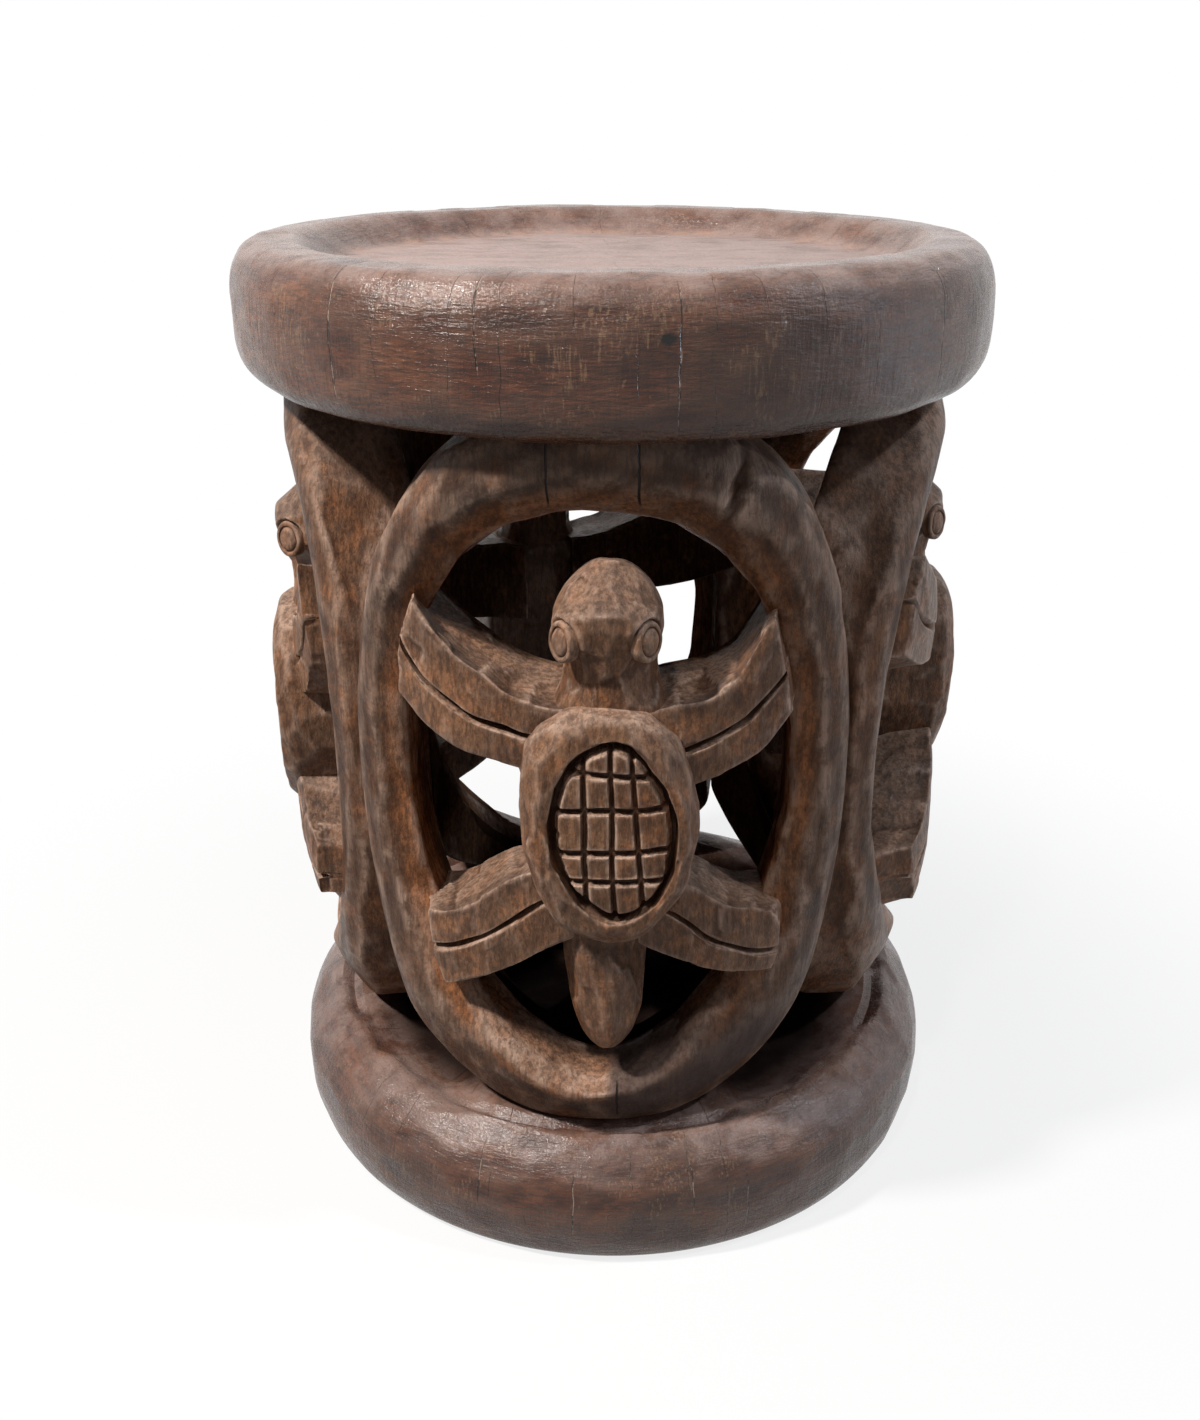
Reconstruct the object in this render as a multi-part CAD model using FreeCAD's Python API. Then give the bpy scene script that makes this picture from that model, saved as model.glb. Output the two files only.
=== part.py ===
import FreeCAD, Part
import math
import os
from FreeCAD import Vector

# African drum table carved from one log: a round top with a dished tray, a round base, and a
# pierced cage of four oval hoops between them, each with a turtle in it.
# Millimetres, Z up, origin at the centre of the underside, front bay towards -Y.

# Whole table
overall_height = 478.0
overrun = 40.0

# Log: the crest of the cage; everything else stands out from it or back from it
log_radius = 165.0

# Top: rounded edge, raised rim and sunk tray
top_overhang = 15.0
top_thickness = 61.0
top_upper_roll = 20.0
top_upper_drop = 30.0
top_lower_roll = 24.0
top_upper_exponent = 3.0
top_lower_exponent = 2.6
rim_width = 29.0
tray_slope_width = 18.0
tray_slope_bulge_share = 0.08
tray_depth = 13.0

# Base: rounded edge, flat floor inside the cage
base_overhang = 18.0
base_height = 68.0
base_belly_height = 32.0
base_upper_roll = 38.0
base_lower_roll = 15.0
base_upper_exponent = 2.2
base_lower_exponent = 2.3

# Cage: one hoop per bay, wrapped round the log, widths measured along the crest. The bays were
# marked out by eye, so they differ; spans are in degrees and run round from the front bay's left edge
bay_names = ("front", "right", "back", "left")
bay_spans = (90.0, 107.0, 95.0, 68.0)
bay_upper_limbs = (31.0, 31.0, 45.0, 31.0)
bay_lower_limbs = (28.0, 28.0, 10.0, 28.0)
cage_turn = -1.5
hoop_depth = 50.0
hoop_side_limb = 33.0
hoop_upper_seat = 7.0
hoop_lower_seat = 6.0
hoop_overlap = 7.0
hoop_belly_share = 0.53
hoop_outer_upper_exponent = 2.3
hoop_outer_lower_exponent = 2.6
hoop_inner_upper_exponent = 2.3
hoop_inner_lower_exponent = 1.9
hoop_quarter_steps = 6
# Corners of a hoop's section: share of the way out of the opening, share of the depth from the back
hoop_section_shares = ((0.06, 0.0), (0.0, 0.89), (0.46, 1.0), (1.0, 0.78), (0.94, 0.0))

# Turtle: fits the opening of its hoop, so its heights are shares of the opening
figure_setback = 38.0
shell_proud = 20.0
shell_middle_share = 0.53
shell_rise_share = 0.193
shell_drop_share = 0.203
shell_half_width = 39.5
shell_upper_exponent = 2.5
shell_lower_exponent = 2.0
shell_edge_bevel = 5.0

pocket_margin = 10.0
pocket_middle_share = 0.522
pocket_half_height_share = 0.157
pocket_depth = 11.0
plate_gap = 3.0
plate_sink = 1.0
plate_exponent = 2.2
plate_edge_bevel = 1.5
plate_groove_width = 2.4
plate_groove_depth = 3.0
plate_row_shares = (0.72, 0.27, -0.22, -0.58)
plate_column_shares = (-0.45, 0.0, 0.45)

neck_bottom_share = 0.675
head_top_share = 0.931
head_half_width = 24.5
head_proud = 10.0
head_exponent = 2.3
# height, half width, back and front of each level of the head
head_level_shares = (
    (0.00, 0.76, 0.02, 0.72),
    (0.27, 0.77, 0.00, 0.72),
    (0.44, 0.90, 0.00, 0.86),
    (0.62, 1.00, 0.00, 1.00),
    (0.84, 0.84, 0.06, 0.93),
    (1.00, 0.26, 0.32, 0.60),
)

eye_height_share = 0.814
eye_radius = 8.2
eye_proud = 2.4
eye_socket_margin = 1.6
eye_socket_depth = 3.0
eye_place_angle = 52.0
eye_view_angle = 45.0

flipper_proud = 4.0
flipper_seat = 6.0
flipper_groove_width = 3.0
flipper_groove_depth = 9.0

# Outlines of the flippers: distance out as a share of their reach, height as a share of the span
front_flipper_low_share = 0.572
front_flipper_span_share = 0.276
front_flipper_top_shares = ((0.13, 0.46), (0.42, 0.53), (0.65, 0.69), (0.78, 0.82), (1.00, 1.16))
front_flipper_groove_shares = ((0.20, 0.28), (0.42, 0.31), (0.67, 0.43), (0.79, 0.53), (1.00, 0.78))
front_flipper_bottom_shares = ((0.13, 0.06), (0.41, 0.07), (0.61, 0.15), (0.83, 0.35), (1.00, 0.57))

hind_flipper_low_share = 0.186
hind_flipper_span_share = 0.228
hind_flipper_top_shares = ((0.05, 1.06), (0.37, 0.99), (0.57, 0.77), (0.69, 0.69), (1.00, 0.52))
hind_flipper_groove_shares = ((0.13, 0.94), (0.32, 0.75), (0.51, 0.53), (0.69, 0.34), (1.00, 0.20))
hind_flipper_bottom_shares = ((0.05, 0.66), (0.20, 0.48), (0.45, 0.24), (0.60, 0.13), (1.00, -0.06))

tail_tip_share = 0.086
tail_height_share = 0.272
tail_half_width = 20.0
tail_proud = 3.0
tail_front_exponent = 1.5
tail_back_exponent = 2.6
# height, half width, back and front of each level of the tail
tail_level_shares = (
    (0.00, 0.20, 0.30, 0.74),
    (0.08, 0.43, 0.20, 0.87),
    (0.25, 0.73, 0.09, 0.98),
    (0.60, 0.94, 0.02, 1.00),
    (1.00, 1.00, 0.08, 0.84),
)

outline_points = 12

# Worked out from the sizes above
top_radius = log_radius + top_overhang
base_radius = log_radius + base_overhang
top_underside = overall_height - top_thickness
figure_back_radius = log_radius - figure_setback
shell_crest_radius = log_radius + shell_proud
pocket_floor_radius = shell_crest_radius - pocket_depth
plate_crest_radius = shell_crest_radius - plate_sink
head_front_radius = log_radius + head_proud
flipper_radius = log_radius + flipper_proud
tail_front_radius = log_radius + tail_proud


class Bay:
    """One bay before it is turned to its place: the hoop's opening and what follows from it."""

    def __init__(self, span, upper_limb, lower_limb):
        self.half_turn = math.radians(0.5 * span)
        self.half_width = log_radius * self.half_turn
        self.opening_low = base_height + lower_limb
        self.opening_high = top_underside - upper_limb
        self.opening_height = self.opening_high - self.opening_low
        self.opening_half_width = self.half_width - hoop_side_limb
        self.belly = self.level(hoop_belly_share)
        wall = log_radius * math.sin(self.opening_half_width / log_radius)
        self.flipper_reach = wall + flipper_seat

    def level(self, share):
        """Height in the opening of the hoop."""
        return self.opening_low + share * self.opening_height


def eased(value, exponent):
    """Share of a half size on an oval with this exponent; 2 gives an ellipse, more is squarer."""
    return math.copysign(abs(value) ** (2.0 / exponent), value)


def oval(angle, left, right, drop, rise, lower_exponent, upper_exponent):
    """Point of an oval whose four quarters have their own half sizes."""
    exponent = upper_exponent if math.sin(angle) >= 0.0 else lower_exponent
    across = right if math.cos(angle) >= 0.0 else left
    along = rise if math.sin(angle) >= 0.0 else drop
    return across * eased(math.cos(angle), exponent), along * eased(math.sin(angle), exponent)


def turns(count):
    """Angles of a full turn in equal steps."""
    return [2.0 * math.pi * step / count for step in range(count)]


def closed_spline(points):
    spline = Part.BSplineCurve()
    spline.interpolate(Points=points, PeriodicFlag=True)
    return Part.Wire([spline.toShape()])


def open_spline(points):
    spline = Part.BSplineCurve()
    spline.interpolate(Points=points)
    return spline.toShape()


def quarter_spline(points, start_direction, end_direction):
    """Rounded quarter of an edge that leaves and arrives in given directions."""
    spline = Part.BSplineCurve()
    spline.interpolate(Points=points, InitialTangent=start_direction, FinalTangent=end_direction)
    return spline.toShape()


def rim_edges(lower, belly, upper):
    """Edge from the underside, outwards and up round the belly and in to the upper side."""
    outward = Vector(1.0, 0.0, 0.0)
    upward = Vector(0.0, 0.0, 1.0)
    return [
        quarter_spline(list(reversed(lower)) + [belly], outward, upward),
        quarter_spline([belly] + upper, upward, -outward),
    ]


def oval_prism(half_width, drop, rise, middle, lower_exponent, upper_exponent, back, front):
    """Upright oval seen from the front, filled between two distances from the axis."""
    outline = []
    for angle in turns(outline_points):
        x, z = oval(angle, half_width, half_width, drop, rise, lower_exponent, upper_exponent)
        outline.append(Vector(x, -back, middle + z))
    return Part.Face(closed_spline(outline)).extrude(Vector(0.0, back - front, 0.0))


def log(radius):
    """Full-height cylinder about the axis of the table."""
    return Part.makeCylinder(radius, overall_height)


def rolled_edge(inner, outer, middle, end, exponent, count=3):
    """Points from the side of a rounded edge at the middle height to its flat at the end height."""
    points = []
    for step in range(1, count + 1):
        angle = 0.5 * math.pi * step / count
        r = inner + (outer - inner) * eased(math.cos(angle), exponent)
        z = middle + (end - middle) * eased(math.sin(angle), exponent)
        points.append(Vector(r, 0.0, z))
    return points


def revolved(edges):
    face = Part.Face(Part.Wire(edges))
    return face.revolve(Vector(0.0, 0.0, 0.0), Vector(0.0, 0.0, 1.0), 360)


def table_top():
    belly = Vector(top_radius, 0.0, overall_height - top_upper_drop)
    upper_inset = top_radius - top_upper_roll
    lower_inset = top_radius - top_lower_roll
    upper = rolled_edge(upper_inset, top_radius, belly.z, overall_height, top_upper_exponent)
    lower = rolled_edge(lower_inset, top_radius, belly.z, top_underside, top_lower_exponent)
    floor_height = overall_height - tray_depth
    crest = Vector(top_radius - rim_width, 0.0, overall_height)
    floor_edge = Vector(crest.x - tray_slope_width, 0.0, floor_height)
    slope_middle = (crest + floor_edge) * 0.5 + Vector(0.0, 0.0, tray_depth * tray_slope_bulge_share)
    centre_up = Vector(0.0, 0.0, floor_height)
    centre_down = Vector(0.0, 0.0, top_underside)
    return revolved(rim_edges(lower, belly, upper) + [
        Part.makeLine(upper[-1], crest),
        Part.Arc(crest, slope_middle, floor_edge).toShape(),
        Part.makeLine(floor_edge, centre_up),
        Part.makeLine(centre_up, centre_down),
        Part.makeLine(centre_down, lower[-1]),
    ])


def base():
    belly = Vector(base_radius, 0.0, base_belly_height)
    upper_inset = base_radius - base_upper_roll
    lower_inset = base_radius - base_lower_roll
    upper = rolled_edge(upper_inset, base_radius, belly.z, base_height, base_upper_exponent)
    lower = rolled_edge(lower_inset, base_radius, belly.z, 0.0, base_lower_exponent)
    centre_up = Vector(0.0, 0.0, base_height)
    centre_down = Vector(0.0, 0.0, 0.0)
    return revolved(rim_edges(lower, belly, upper) + [
        Part.makeLine(upper[-1], centre_up),
        Part.makeLine(centre_up, centre_down),
        Part.makeLine(centre_down, lower[-1]),
    ])


def hoop_section(bay, place):
    """Section of the hoop: bulging front and straight walls, cut straight in from the front."""
    outer_half = bay.half_width + hoop_overlap
    outer_drop = bay.belly - base_height + hoop_lower_seat
    outer_rise = top_underside + hoop_upper_seat - bay.belly
    inner_half = bay.opening_half_width
    inner_drop = bay.belly - bay.opening_low
    inner_rise = bay.opening_high - bay.belly
    outer = oval(place, outer_half, outer_half, outer_drop, outer_rise,
                 hoop_outer_lower_exponent, hoop_outer_upper_exponent)
    inner = oval(place, inner_half, inner_half, inner_drop, inner_rise,
                 hoop_inner_lower_exponent, hoop_inner_upper_exponent)
    outward = Vector(0.0, -hoop_depth, 0.0)
    corners = []
    for arc, z in (inner, outer):
        turn = arc / log_radius
        crest = Vector(log_radius * math.sin(turn), -log_radius * math.cos(turn), bay.belly + z)
        corners.append(crest - outward)
    across = corners[1] - corners[0]
    points = [corners[0] + across * side + outward * out for side, out in hoop_section_shares]
    return Part.Wire([
        Part.makeLine(points[0], points[1]),
        Part.Arc(points[1], points[2], points[3]).toShape(),
        Part.makeLine(points[3], points[4]),
        Part.makeLine(points[4], points[0]),
    ])


def hoop_ring(bay):
    """Ring of sections that follows an oval wrapped round the log, made as four quarters."""
    quarters = []
    for quarter in range(4):
        sections = []
        for step in range(hoop_quarter_steps + 1):
            place = 0.5 * math.pi * (quarter + step / hoop_quarter_steps)
            sections.append(hoop_section(bay, place))
        quarters.append(Part.makeLoft(sections, True, True))
    return quarters[0].multiFuse(quarters[1:])


def log_wedge(half_turn, reach):
    """Wedge of the log about the front, from the axis out to a reach."""
    across = reach * math.tan(half_turn)
    corners = [
        Vector(0.0, 0.0, 0.0),
        Vector(across, -reach, 0.0),
        Vector(-across, -reach, 0.0),
        Vector(0.0, 0.0, 0.0),
    ]
    return Part.Face(Part.makePolygon(corners)).extrude(Vector(0.0, 0.0, overall_height))


def oval_on_figure(half_width, drop, rise, middle, lower_exponent, upper_exponent, back):
    """Oval block from a distance behind the face of the figure to beyond its front."""
    return oval_prism(half_width, drop, rise, middle, lower_exponent, upper_exponent,
                      back, shell_crest_radius + overrun)


def turtle_shell(bay):
    drop = shell_drop_share * bay.opening_height
    rise = shell_rise_share * bay.opening_height
    block = oval_on_figure(shell_half_width, drop, rise, bay.level(shell_middle_share),
                           shell_lower_exponent, shell_upper_exponent, figure_back_radius)
    block = block.common(log(shell_crest_radius))
    front_edges = []
    for edge in block.Edges:
        if edge.BoundBox.YMax < -0.5 * (figure_back_radius + shell_crest_radius):
            front_edges.append(edge)
    block = block.makeChamfer(shell_edge_bevel, front_edges)
    half_height = pocket_half_height_share * bay.opening_height
    pocket = oval_on_figure(shell_half_width - pocket_margin, half_height, half_height,
                            bay.level(pocket_middle_share), plate_exponent, plate_exponent, pocket_floor_radius)
    return block.cut(pocket)


def shell_plate(bay):
    half_width = shell_half_width - pocket_margin - plate_gap
    half_height = pocket_half_height_share * bay.opening_height - plate_gap
    middle = bay.level(pocket_middle_share)
    block = oval_prism(half_width, half_height, half_height, middle, plate_exponent, plate_exponent,
                       pocket_floor_radius, plate_crest_radius)
    crest = -plate_crest_radius
    front_edges = [edge for edge in block.Edges if edge.BoundBox.YMax < crest + plate_edge_bevel]
    block = block.makeChamfer(plate_edge_bevel, front_edges)
    front = crest + plate_groove_depth - overrun
    half_groove = 0.5 * plate_groove_width
    cutters = []
    for share in plate_row_shares:
        corner = Vector(-shell_half_width, front, middle + share * half_height - half_groove)
        cutters.append(Part.makeBox(2.0 * shell_half_width, overrun, plate_groove_width, corner))
    for share in plate_column_shares:
        corner = Vector(share * half_width - half_groove, front, middle - 2.0 * half_height)
        cutters.append(Part.makeBox(plate_groove_width, overrun, 4.0 * half_height, corner))
    return block.cut(cutters[0].multiFuse(cutters[1:]))


def levels_loft(level_shares, bottom, height, half_width, front_radius, back_exponent, front_exponent):
    """Smooth body through level ovals between the back of the figure and its front."""
    depth = front_radius - figure_back_radius
    sections = []
    for height_share, width_share, back_share, front_share in level_shares:
        middle = figure_back_radius + 0.5 * (back_share + front_share) * depth
        half_depth = 0.5 * (front_share - back_share) * depth
        width = width_share * half_width
        section = []
        for angle in turns(outline_points):
            x, y = oval(angle, width, width, half_depth, half_depth, back_exponent, front_exponent)
            section.append(Vector(x, -middle - y, bottom + height_share * height))
        sections.append(closed_spline(section))
    return Part.makeLoft(sections, True)


def turtle_head(bay):
    bottom = bay.level(neck_bottom_share)
    return levels_loft(head_level_shares, bottom, bay.level(head_top_share) - bottom, head_half_width,
                       head_front_radius, head_exponent, head_exponent)


def turtle_tail(bay):
    height = tail_height_share * bay.opening_height
    return levels_loft(tail_level_shares, bay.level(tail_tip_share), height, tail_half_width,
                       tail_front_radius, tail_back_exponent, tail_front_exponent)


def eye_seat(bay, side):
    """Middle of an eye on the head and the way that it faces."""
    half_depth = 0.5 * (head_front_radius - figure_back_radius)
    place = math.radians(eye_place_angle)
    view = math.radians(eye_view_angle)
    x, y = oval(0.5 * math.pi - place, head_half_width, head_half_width, half_depth, half_depth,
                head_exponent, head_exponent)
    middle = Vector(side * x, -figure_back_radius - half_depth - y, bay.level(eye_height_share))
    return middle, Vector(side * math.sin(view), -math.cos(view), 0.0)


def eye_socket(bay, side):
    middle, facing = eye_seat(bay, side)
    floor = middle - facing * eye_socket_depth
    return Part.makeCylinder(eye_radius + eye_socket_margin, overrun, floor, facing)


def turtle_eye(bay, side):
    middle, facing = eye_seat(bay, side)
    floor = middle - facing * eye_socket_depth
    return Part.makeCylinder(eye_radius, eye_socket_depth + eye_proud, floor, facing)


def share_points(bay, shares, low_share, span_share, side):
    """Points of an outline: distance out as a share of the reach, height as a share of the span."""
    points = []
    for out, up in shares:
        points.append(Vector(side * out * bay.flipper_reach, 0.0, bay.level(low_share + up * span_share)))
    return points


def flipper(bay, side, low_share, span_share, top_shares, groove_shares, bottom_shares):
    """Curved plank between shell and hoop, split into two lobes by a groove in its face."""
    top = share_points(bay, top_shares, low_share, span_share, side)
    bottom = share_points(bay, bottom_shares, low_share, span_share, side)
    line = share_points(bay, groove_shares, low_share, span_share, side)
    outline = Part.Wire([
        open_spline(top),
        Part.makeLine(top[-1], bottom[-1]),
        open_spline(list(reversed(bottom))),
        Part.makeLine(bottom[0], top[0]),
    ])
    forward = Vector(0.0, -flipper_radius - overrun, 0.0)
    plank = Part.Face(outline).extrude(forward)
    plank = plank.common(log(flipper_radius).cut(log(figure_back_radius)))
    half_groove = Vector(0.0, 0.0, 0.5 * flipper_groove_width)
    slot = Part.Wire([
        open_spline([point + half_groove for point in line]),
        Part.makeLine(line[-1] + half_groove, line[-1] - half_groove),
        open_spline([point - half_groove for point in reversed(line)]),
        Part.makeLine(line[0] - half_groove, line[0] + half_groove),
    ])
    slot = Part.Face(slot).extrude(forward)
    plank = plank.cut(slot.cut(log(flipper_radius - flipper_groove_depth)))
    return plank.common(log_wedge(bay.half_turn, flipper_radius + overrun))


def bay_pieces(bay, top_piece, base_piece):
    """Hoop and turtle of a bay, facing the front."""
    wedge = log_wedge(bay.half_turn, log_radius + overrun)
    hoop = hoop_ring(bay).common(wedge).cut(top_piece).cut(base_piece)
    shell = turtle_shell(bay)
    head = turtle_head(bay).cut(shell)
    tail = turtle_tail(bay).cut(shell)
    pieces = {"hoop_BAY": hoop, "turtle_BAY_shell": shell, "turtle_BAY_shell_plate": shell_plate(bay),
              "turtle_BAY_tail": tail}
    for name, side in (("left", -1.0), ("right", 1.0)):
        head = head.cut(eye_socket(bay, side))
        pieces["turtle_BAY_" + name + "_eye"] = turtle_eye(bay, side)
    pieces["turtle_BAY_head"] = head
    for name, side in (("left", -1.0), ("right", 1.0)):
        front = flipper(bay, side, front_flipper_low_share, front_flipper_span_share,
                        front_flipper_top_shares, front_flipper_groove_shares, front_flipper_bottom_shares)
        hind = flipper(bay, side, hind_flipper_low_share, hind_flipper_span_share,
                       hind_flipper_top_shares, hind_flipper_groove_shares, hind_flipper_bottom_shares)
        for neighbour in (shell, head, tail, hoop):
            front = front.cut(neighbour)
            hind = hind.cut(neighbour)
        pieces["turtle_BAY_" + name + "_front_flipper"] = front
        pieces["turtle_BAY_" + name + "_hind_flipper"] = hind
    return pieces


def build():
    pieces = {"table_top": table_top(), "base": base()}
    left_edge = cage_turn - 0.5 * bay_spans[0]
    for name, span, upper_limb, lower_limb in zip(bay_names, bay_spans, bay_upper_limbs, bay_lower_limbs):
        shapes = bay_pieces(Bay(span, upper_limb, lower_limb), pieces["table_top"], pieces["base"])
        for pattern, shape in shapes.items():
            shape.rotate(Vector(0.0, 0.0, 0.0), Vector(0.0, 0.0, 1.0), left_edge + 0.5 * span)
            pieces[pattern.replace("BAY", name)] = shape
        left_edge += span
    return pieces


os.makedirs("parts", exist_ok=True)
for node, solid in build().items():
    print(node, "solids", len(solid.Solids), "volume", round(solid.Volume), "valid", solid.isValid())
    solid.exportStep("parts/" + node + ".step")
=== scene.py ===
import math
import random

import bpy
import numpy as np
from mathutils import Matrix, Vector


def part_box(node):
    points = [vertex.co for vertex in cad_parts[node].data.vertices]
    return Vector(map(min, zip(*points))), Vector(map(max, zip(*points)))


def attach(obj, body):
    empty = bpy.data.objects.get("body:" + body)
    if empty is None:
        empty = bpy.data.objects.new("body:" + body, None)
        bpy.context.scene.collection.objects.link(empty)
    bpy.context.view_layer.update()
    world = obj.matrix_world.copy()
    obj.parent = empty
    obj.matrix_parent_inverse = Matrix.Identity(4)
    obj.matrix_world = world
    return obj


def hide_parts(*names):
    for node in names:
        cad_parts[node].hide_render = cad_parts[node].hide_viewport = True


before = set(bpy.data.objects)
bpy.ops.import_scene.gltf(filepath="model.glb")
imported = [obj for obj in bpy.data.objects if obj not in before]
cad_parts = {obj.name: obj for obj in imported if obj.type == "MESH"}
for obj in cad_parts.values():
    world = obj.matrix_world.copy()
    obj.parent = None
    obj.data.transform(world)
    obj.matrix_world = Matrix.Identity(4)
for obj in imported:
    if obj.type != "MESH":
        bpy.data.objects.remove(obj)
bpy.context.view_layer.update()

# Sizes of the log (metres): heights read from the frame, radii given
top_low, top_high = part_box("table_top")
underside, tray_rim = top_low[2], top_high[2]
base_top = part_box("base")[1][2]
top_radius = 0.1815
base_radius = 0.183

# Cage: arcs are measured on the crest. The bays were marked out one by one, so each has its own
# middle and half width in degrees, lower and upper end of the opening, width of limb, and turtle:
# where it faces, where its flippers meet the wall, how far it stands in, how far its hind
# flippers stand out, how high its head is
crest = 0.165
bay_fields = ("middle", "half", "low", "high", "limb", "figure", "wall", "set_in", "hind_out", "raised")
bays = {
    "front": (-2.6, 47.0, 0.097, 0.3815, 0.0370, -1.5, 96.6, 0.0, 0.0, 0.0),
    "right": (97.4, 53.0, 0.097, 0.386, 0.0340, 97.0, 119.0, 0.0, 0.0070, 0.0),
    "back": (198.0, 47.6, 0.076, 0.372, 0.0330, 198.0, 103.8, 0.0, 0.0, 0.0),
    "left": (278.0, 32.4, 0.097, 0.386, 0.0300, 278.5, 64.5, 0.0048, 0.0055, 0.0050),
}
bays = {side_name: dict(zip(bay_fields, row)) for side_name, row in bays.items()}
hoop_low, hoop_high = 0.0645, 0.423
hoop_depth = 0.050
# Turtles stand this far to the right of their bay's middle, and were drawn for this opening
turtle_shift = 0.0014
drawn_low, drawn_high = 0.097, 0.386
smooth_angle = math.radians(40.0)


# Working with a piece

def deselect_all():
    bpy.ops.object.select_all(action="DESELECT")


def begin(name, add_primitive, **sizes):
    """Adds a primitive, names it and gives it back."""
    deselect_all()
    add_primitive(**sizes)
    piece = bpy.context.active_object
    piece.name = name
    piece.data.name = name
    return piece


def take(piece):
    deselect_all()
    piece.select_set(True)
    bpy.context.view_layer.objects.active = piece


def edit_all(piece):
    take(piece)
    bpy.ops.object.mode_set(mode="EDIT")
    bpy.ops.mesh.select_all(action="SELECT")


def done_editing():
    bpy.ops.object.mode_set(mode="OBJECT")


def read_rows(items, field, width, kind=np.float64):
    found = np.empty(len(items) * width, kind)
    items.foreach_get(field, found)
    return found.reshape(-1, width)


def points_of(piece):
    return read_rows(piece.data.vertices, "co", 3)


def place_points(piece, points):
    piece.data.vertices.foreach_set("co", points.astype(np.float32).ravel())
    piece.data.update()


def facing_of(piece):
    return read_rows(piece.data.vertex_normals, "vector", 3)


def reach_of(points):
    """Distance from the upright axis."""
    return np.hypot(points[:, 0], points[:, 1])


def keep_mark(piece, name, values):
    mark = piece.data.attributes.get(name) or piece.data.attributes.new(name, "FLOAT", "POINT")
    mark.data.foreach_set("value", np.clip(values, 0.0, 1.0).astype(np.float32))


def face_outwards(piece, merge=False):
    edit_all(piece)
    if merge:
        bpy.ops.mesh.remove_doubles(threshold=0.00002)
    bpy.ops.mesh.normals_make_consistent(inside=False)
    done_editing()


def pick_points(piece, picked):
    """Selects these points and the edges between them, and leaves the piece in edit mode."""
    edit_all(piece)
    bpy.ops.mesh.select_all(action="DESELECT")
    bpy.ops.mesh.select_mode(type="VERT")
    done_editing()
    for vertex, wanted in zip(piece.data.vertices, picked):
        vertex.select = bool(wanted)
    for edge in piece.data.edges:
        edge.select = all(picked[n] for n in edge.vertices)
    bpy.ops.object.mode_set(mode="EDIT")


def disc(name, radius, segments, height=0.0):
    """Flat disc whose rim is picked, ready to be drawn out."""
    piece = begin(name, bpy.ops.mesh.primitive_circle_add, vertices=segments, radius=radius,
                  fill_type="TRIFAN", location=(0.0, 0.0, height))
    bpy.ops.object.transform_apply(location=True)
    pick_points(piece, reach_of(points_of(piece)) > 0.5 * radius)
    return piece


def draw_out(piece, radius, height, profile):
    """Extrudes and resizes the picked rim through (radius, height) rings and closes the end."""
    for new_radius, new_height in profile:
        bpy.ops.mesh.extrude_region_move(TRANSFORM_OT_translate={"value": (0.0, 0.0, new_height - height)})
        grow = new_radius / radius
        bpy.ops.transform.resize(value=(grow, grow, 1.0), center_override=(0.0, 0.0, new_height))
        radius, height = new_radius, new_height
    bpy.ops.mesh.merge(type="CENTER")
    done_editing()
    face_outwards(piece, merge=True)


def hand_twin(piece, name):
    """A copy with a mesh of its own."""
    twin = piece.copy()
    twin.data = piece.data.copy()
    twin.name = name
    twin.data.name = name
    bpy.context.scene.collection.objects.link(twin)
    return twin


# Shapes by rule

def eased(value):
    value = np.clip(value, 0.0, 1.0)
    return value * value * (3.0 - 2.0 * value)


def between(value, low, high):
    return eased((value - low) / (high - low))


def lumps(points, size, seed):
    """Uneven field from -1 to 1 whose humps are about one size across."""
    cells = points / size + seed * 7.31
    corner = np.floor(cells).astype(np.int64)
    part = cells - corner
    part = part * part * (3.0 - 2.0 * part)
    total = np.zeros(len(points))
    for i, j, k in np.ndindex(2, 2, 2):
        key = (corner[:, 0] + i) * 73856093 ^ (corner[:, 1] + j) * 19349663
        key = key ^ (corner[:, 2] + k) * 83492791 ^ (seed * 2654435)
        key = (key ^ (key >> 13)) * 1274126177
        value = ((key >> 7) & 0xFFFF) / 32767.5 - 1.0
        share = np.abs(1 - i - part[:, 0]) * np.abs(1 - j - part[:, 1]) * np.abs(1 - k - part[:, 2])
        total += value * share
    return total


def round_places(turn, third):
    """Places for lumps that run round without a seam."""
    return np.column_stack([np.cos(turn), np.sin(turn), third])


def smooth_line(knots, places):
    """Smooth curve through (place, value) knots, without overshoot."""
    knots = np.array(sorted(tuple(knot) for knot in knots), float)
    x, y = knots[:, 0], knots[:, 1]
    step = np.diff(x)
    slope = np.diff(y) / step
    tangent = np.empty(len(x))
    tangent[0], tangent[-1] = slope[0], slope[-1]
    for n in range(1, len(x) - 1):
        a, b = slope[n - 1], slope[n]
        tangent[n] = 0.0 if a * b <= 0.0 else 2.0 * a * b / (a + b)
    places = np.clip(places, x[0], x[-1])
    cell = np.clip(np.searchsorted(x, places, side="right") - 1, 0, len(x) - 2)
    h = step[cell]
    t = (places - x[cell]) / h
    t2, t3 = t * t, t * t * t
    return ((2 * t3 - 3 * t2 + 1) * y[cell] + (t3 - 2 * t2 + t) * h * tangent[cell]
            + (3 * t2 - 2 * t3) * y[cell + 1] + (t3 - t2) * h * tangent[cell + 1])


def metres_line(knots, level):
    """Smooth line whose values are given in millimetres."""
    return 0.001 * smooth_line(knots, level)


def read_table(table, places):
    """Columns of a table, read at these places of its first column."""
    columns = np.array(table).T
    return [np.interp(places, columns[0], column) for column in columns[1:]]


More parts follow.
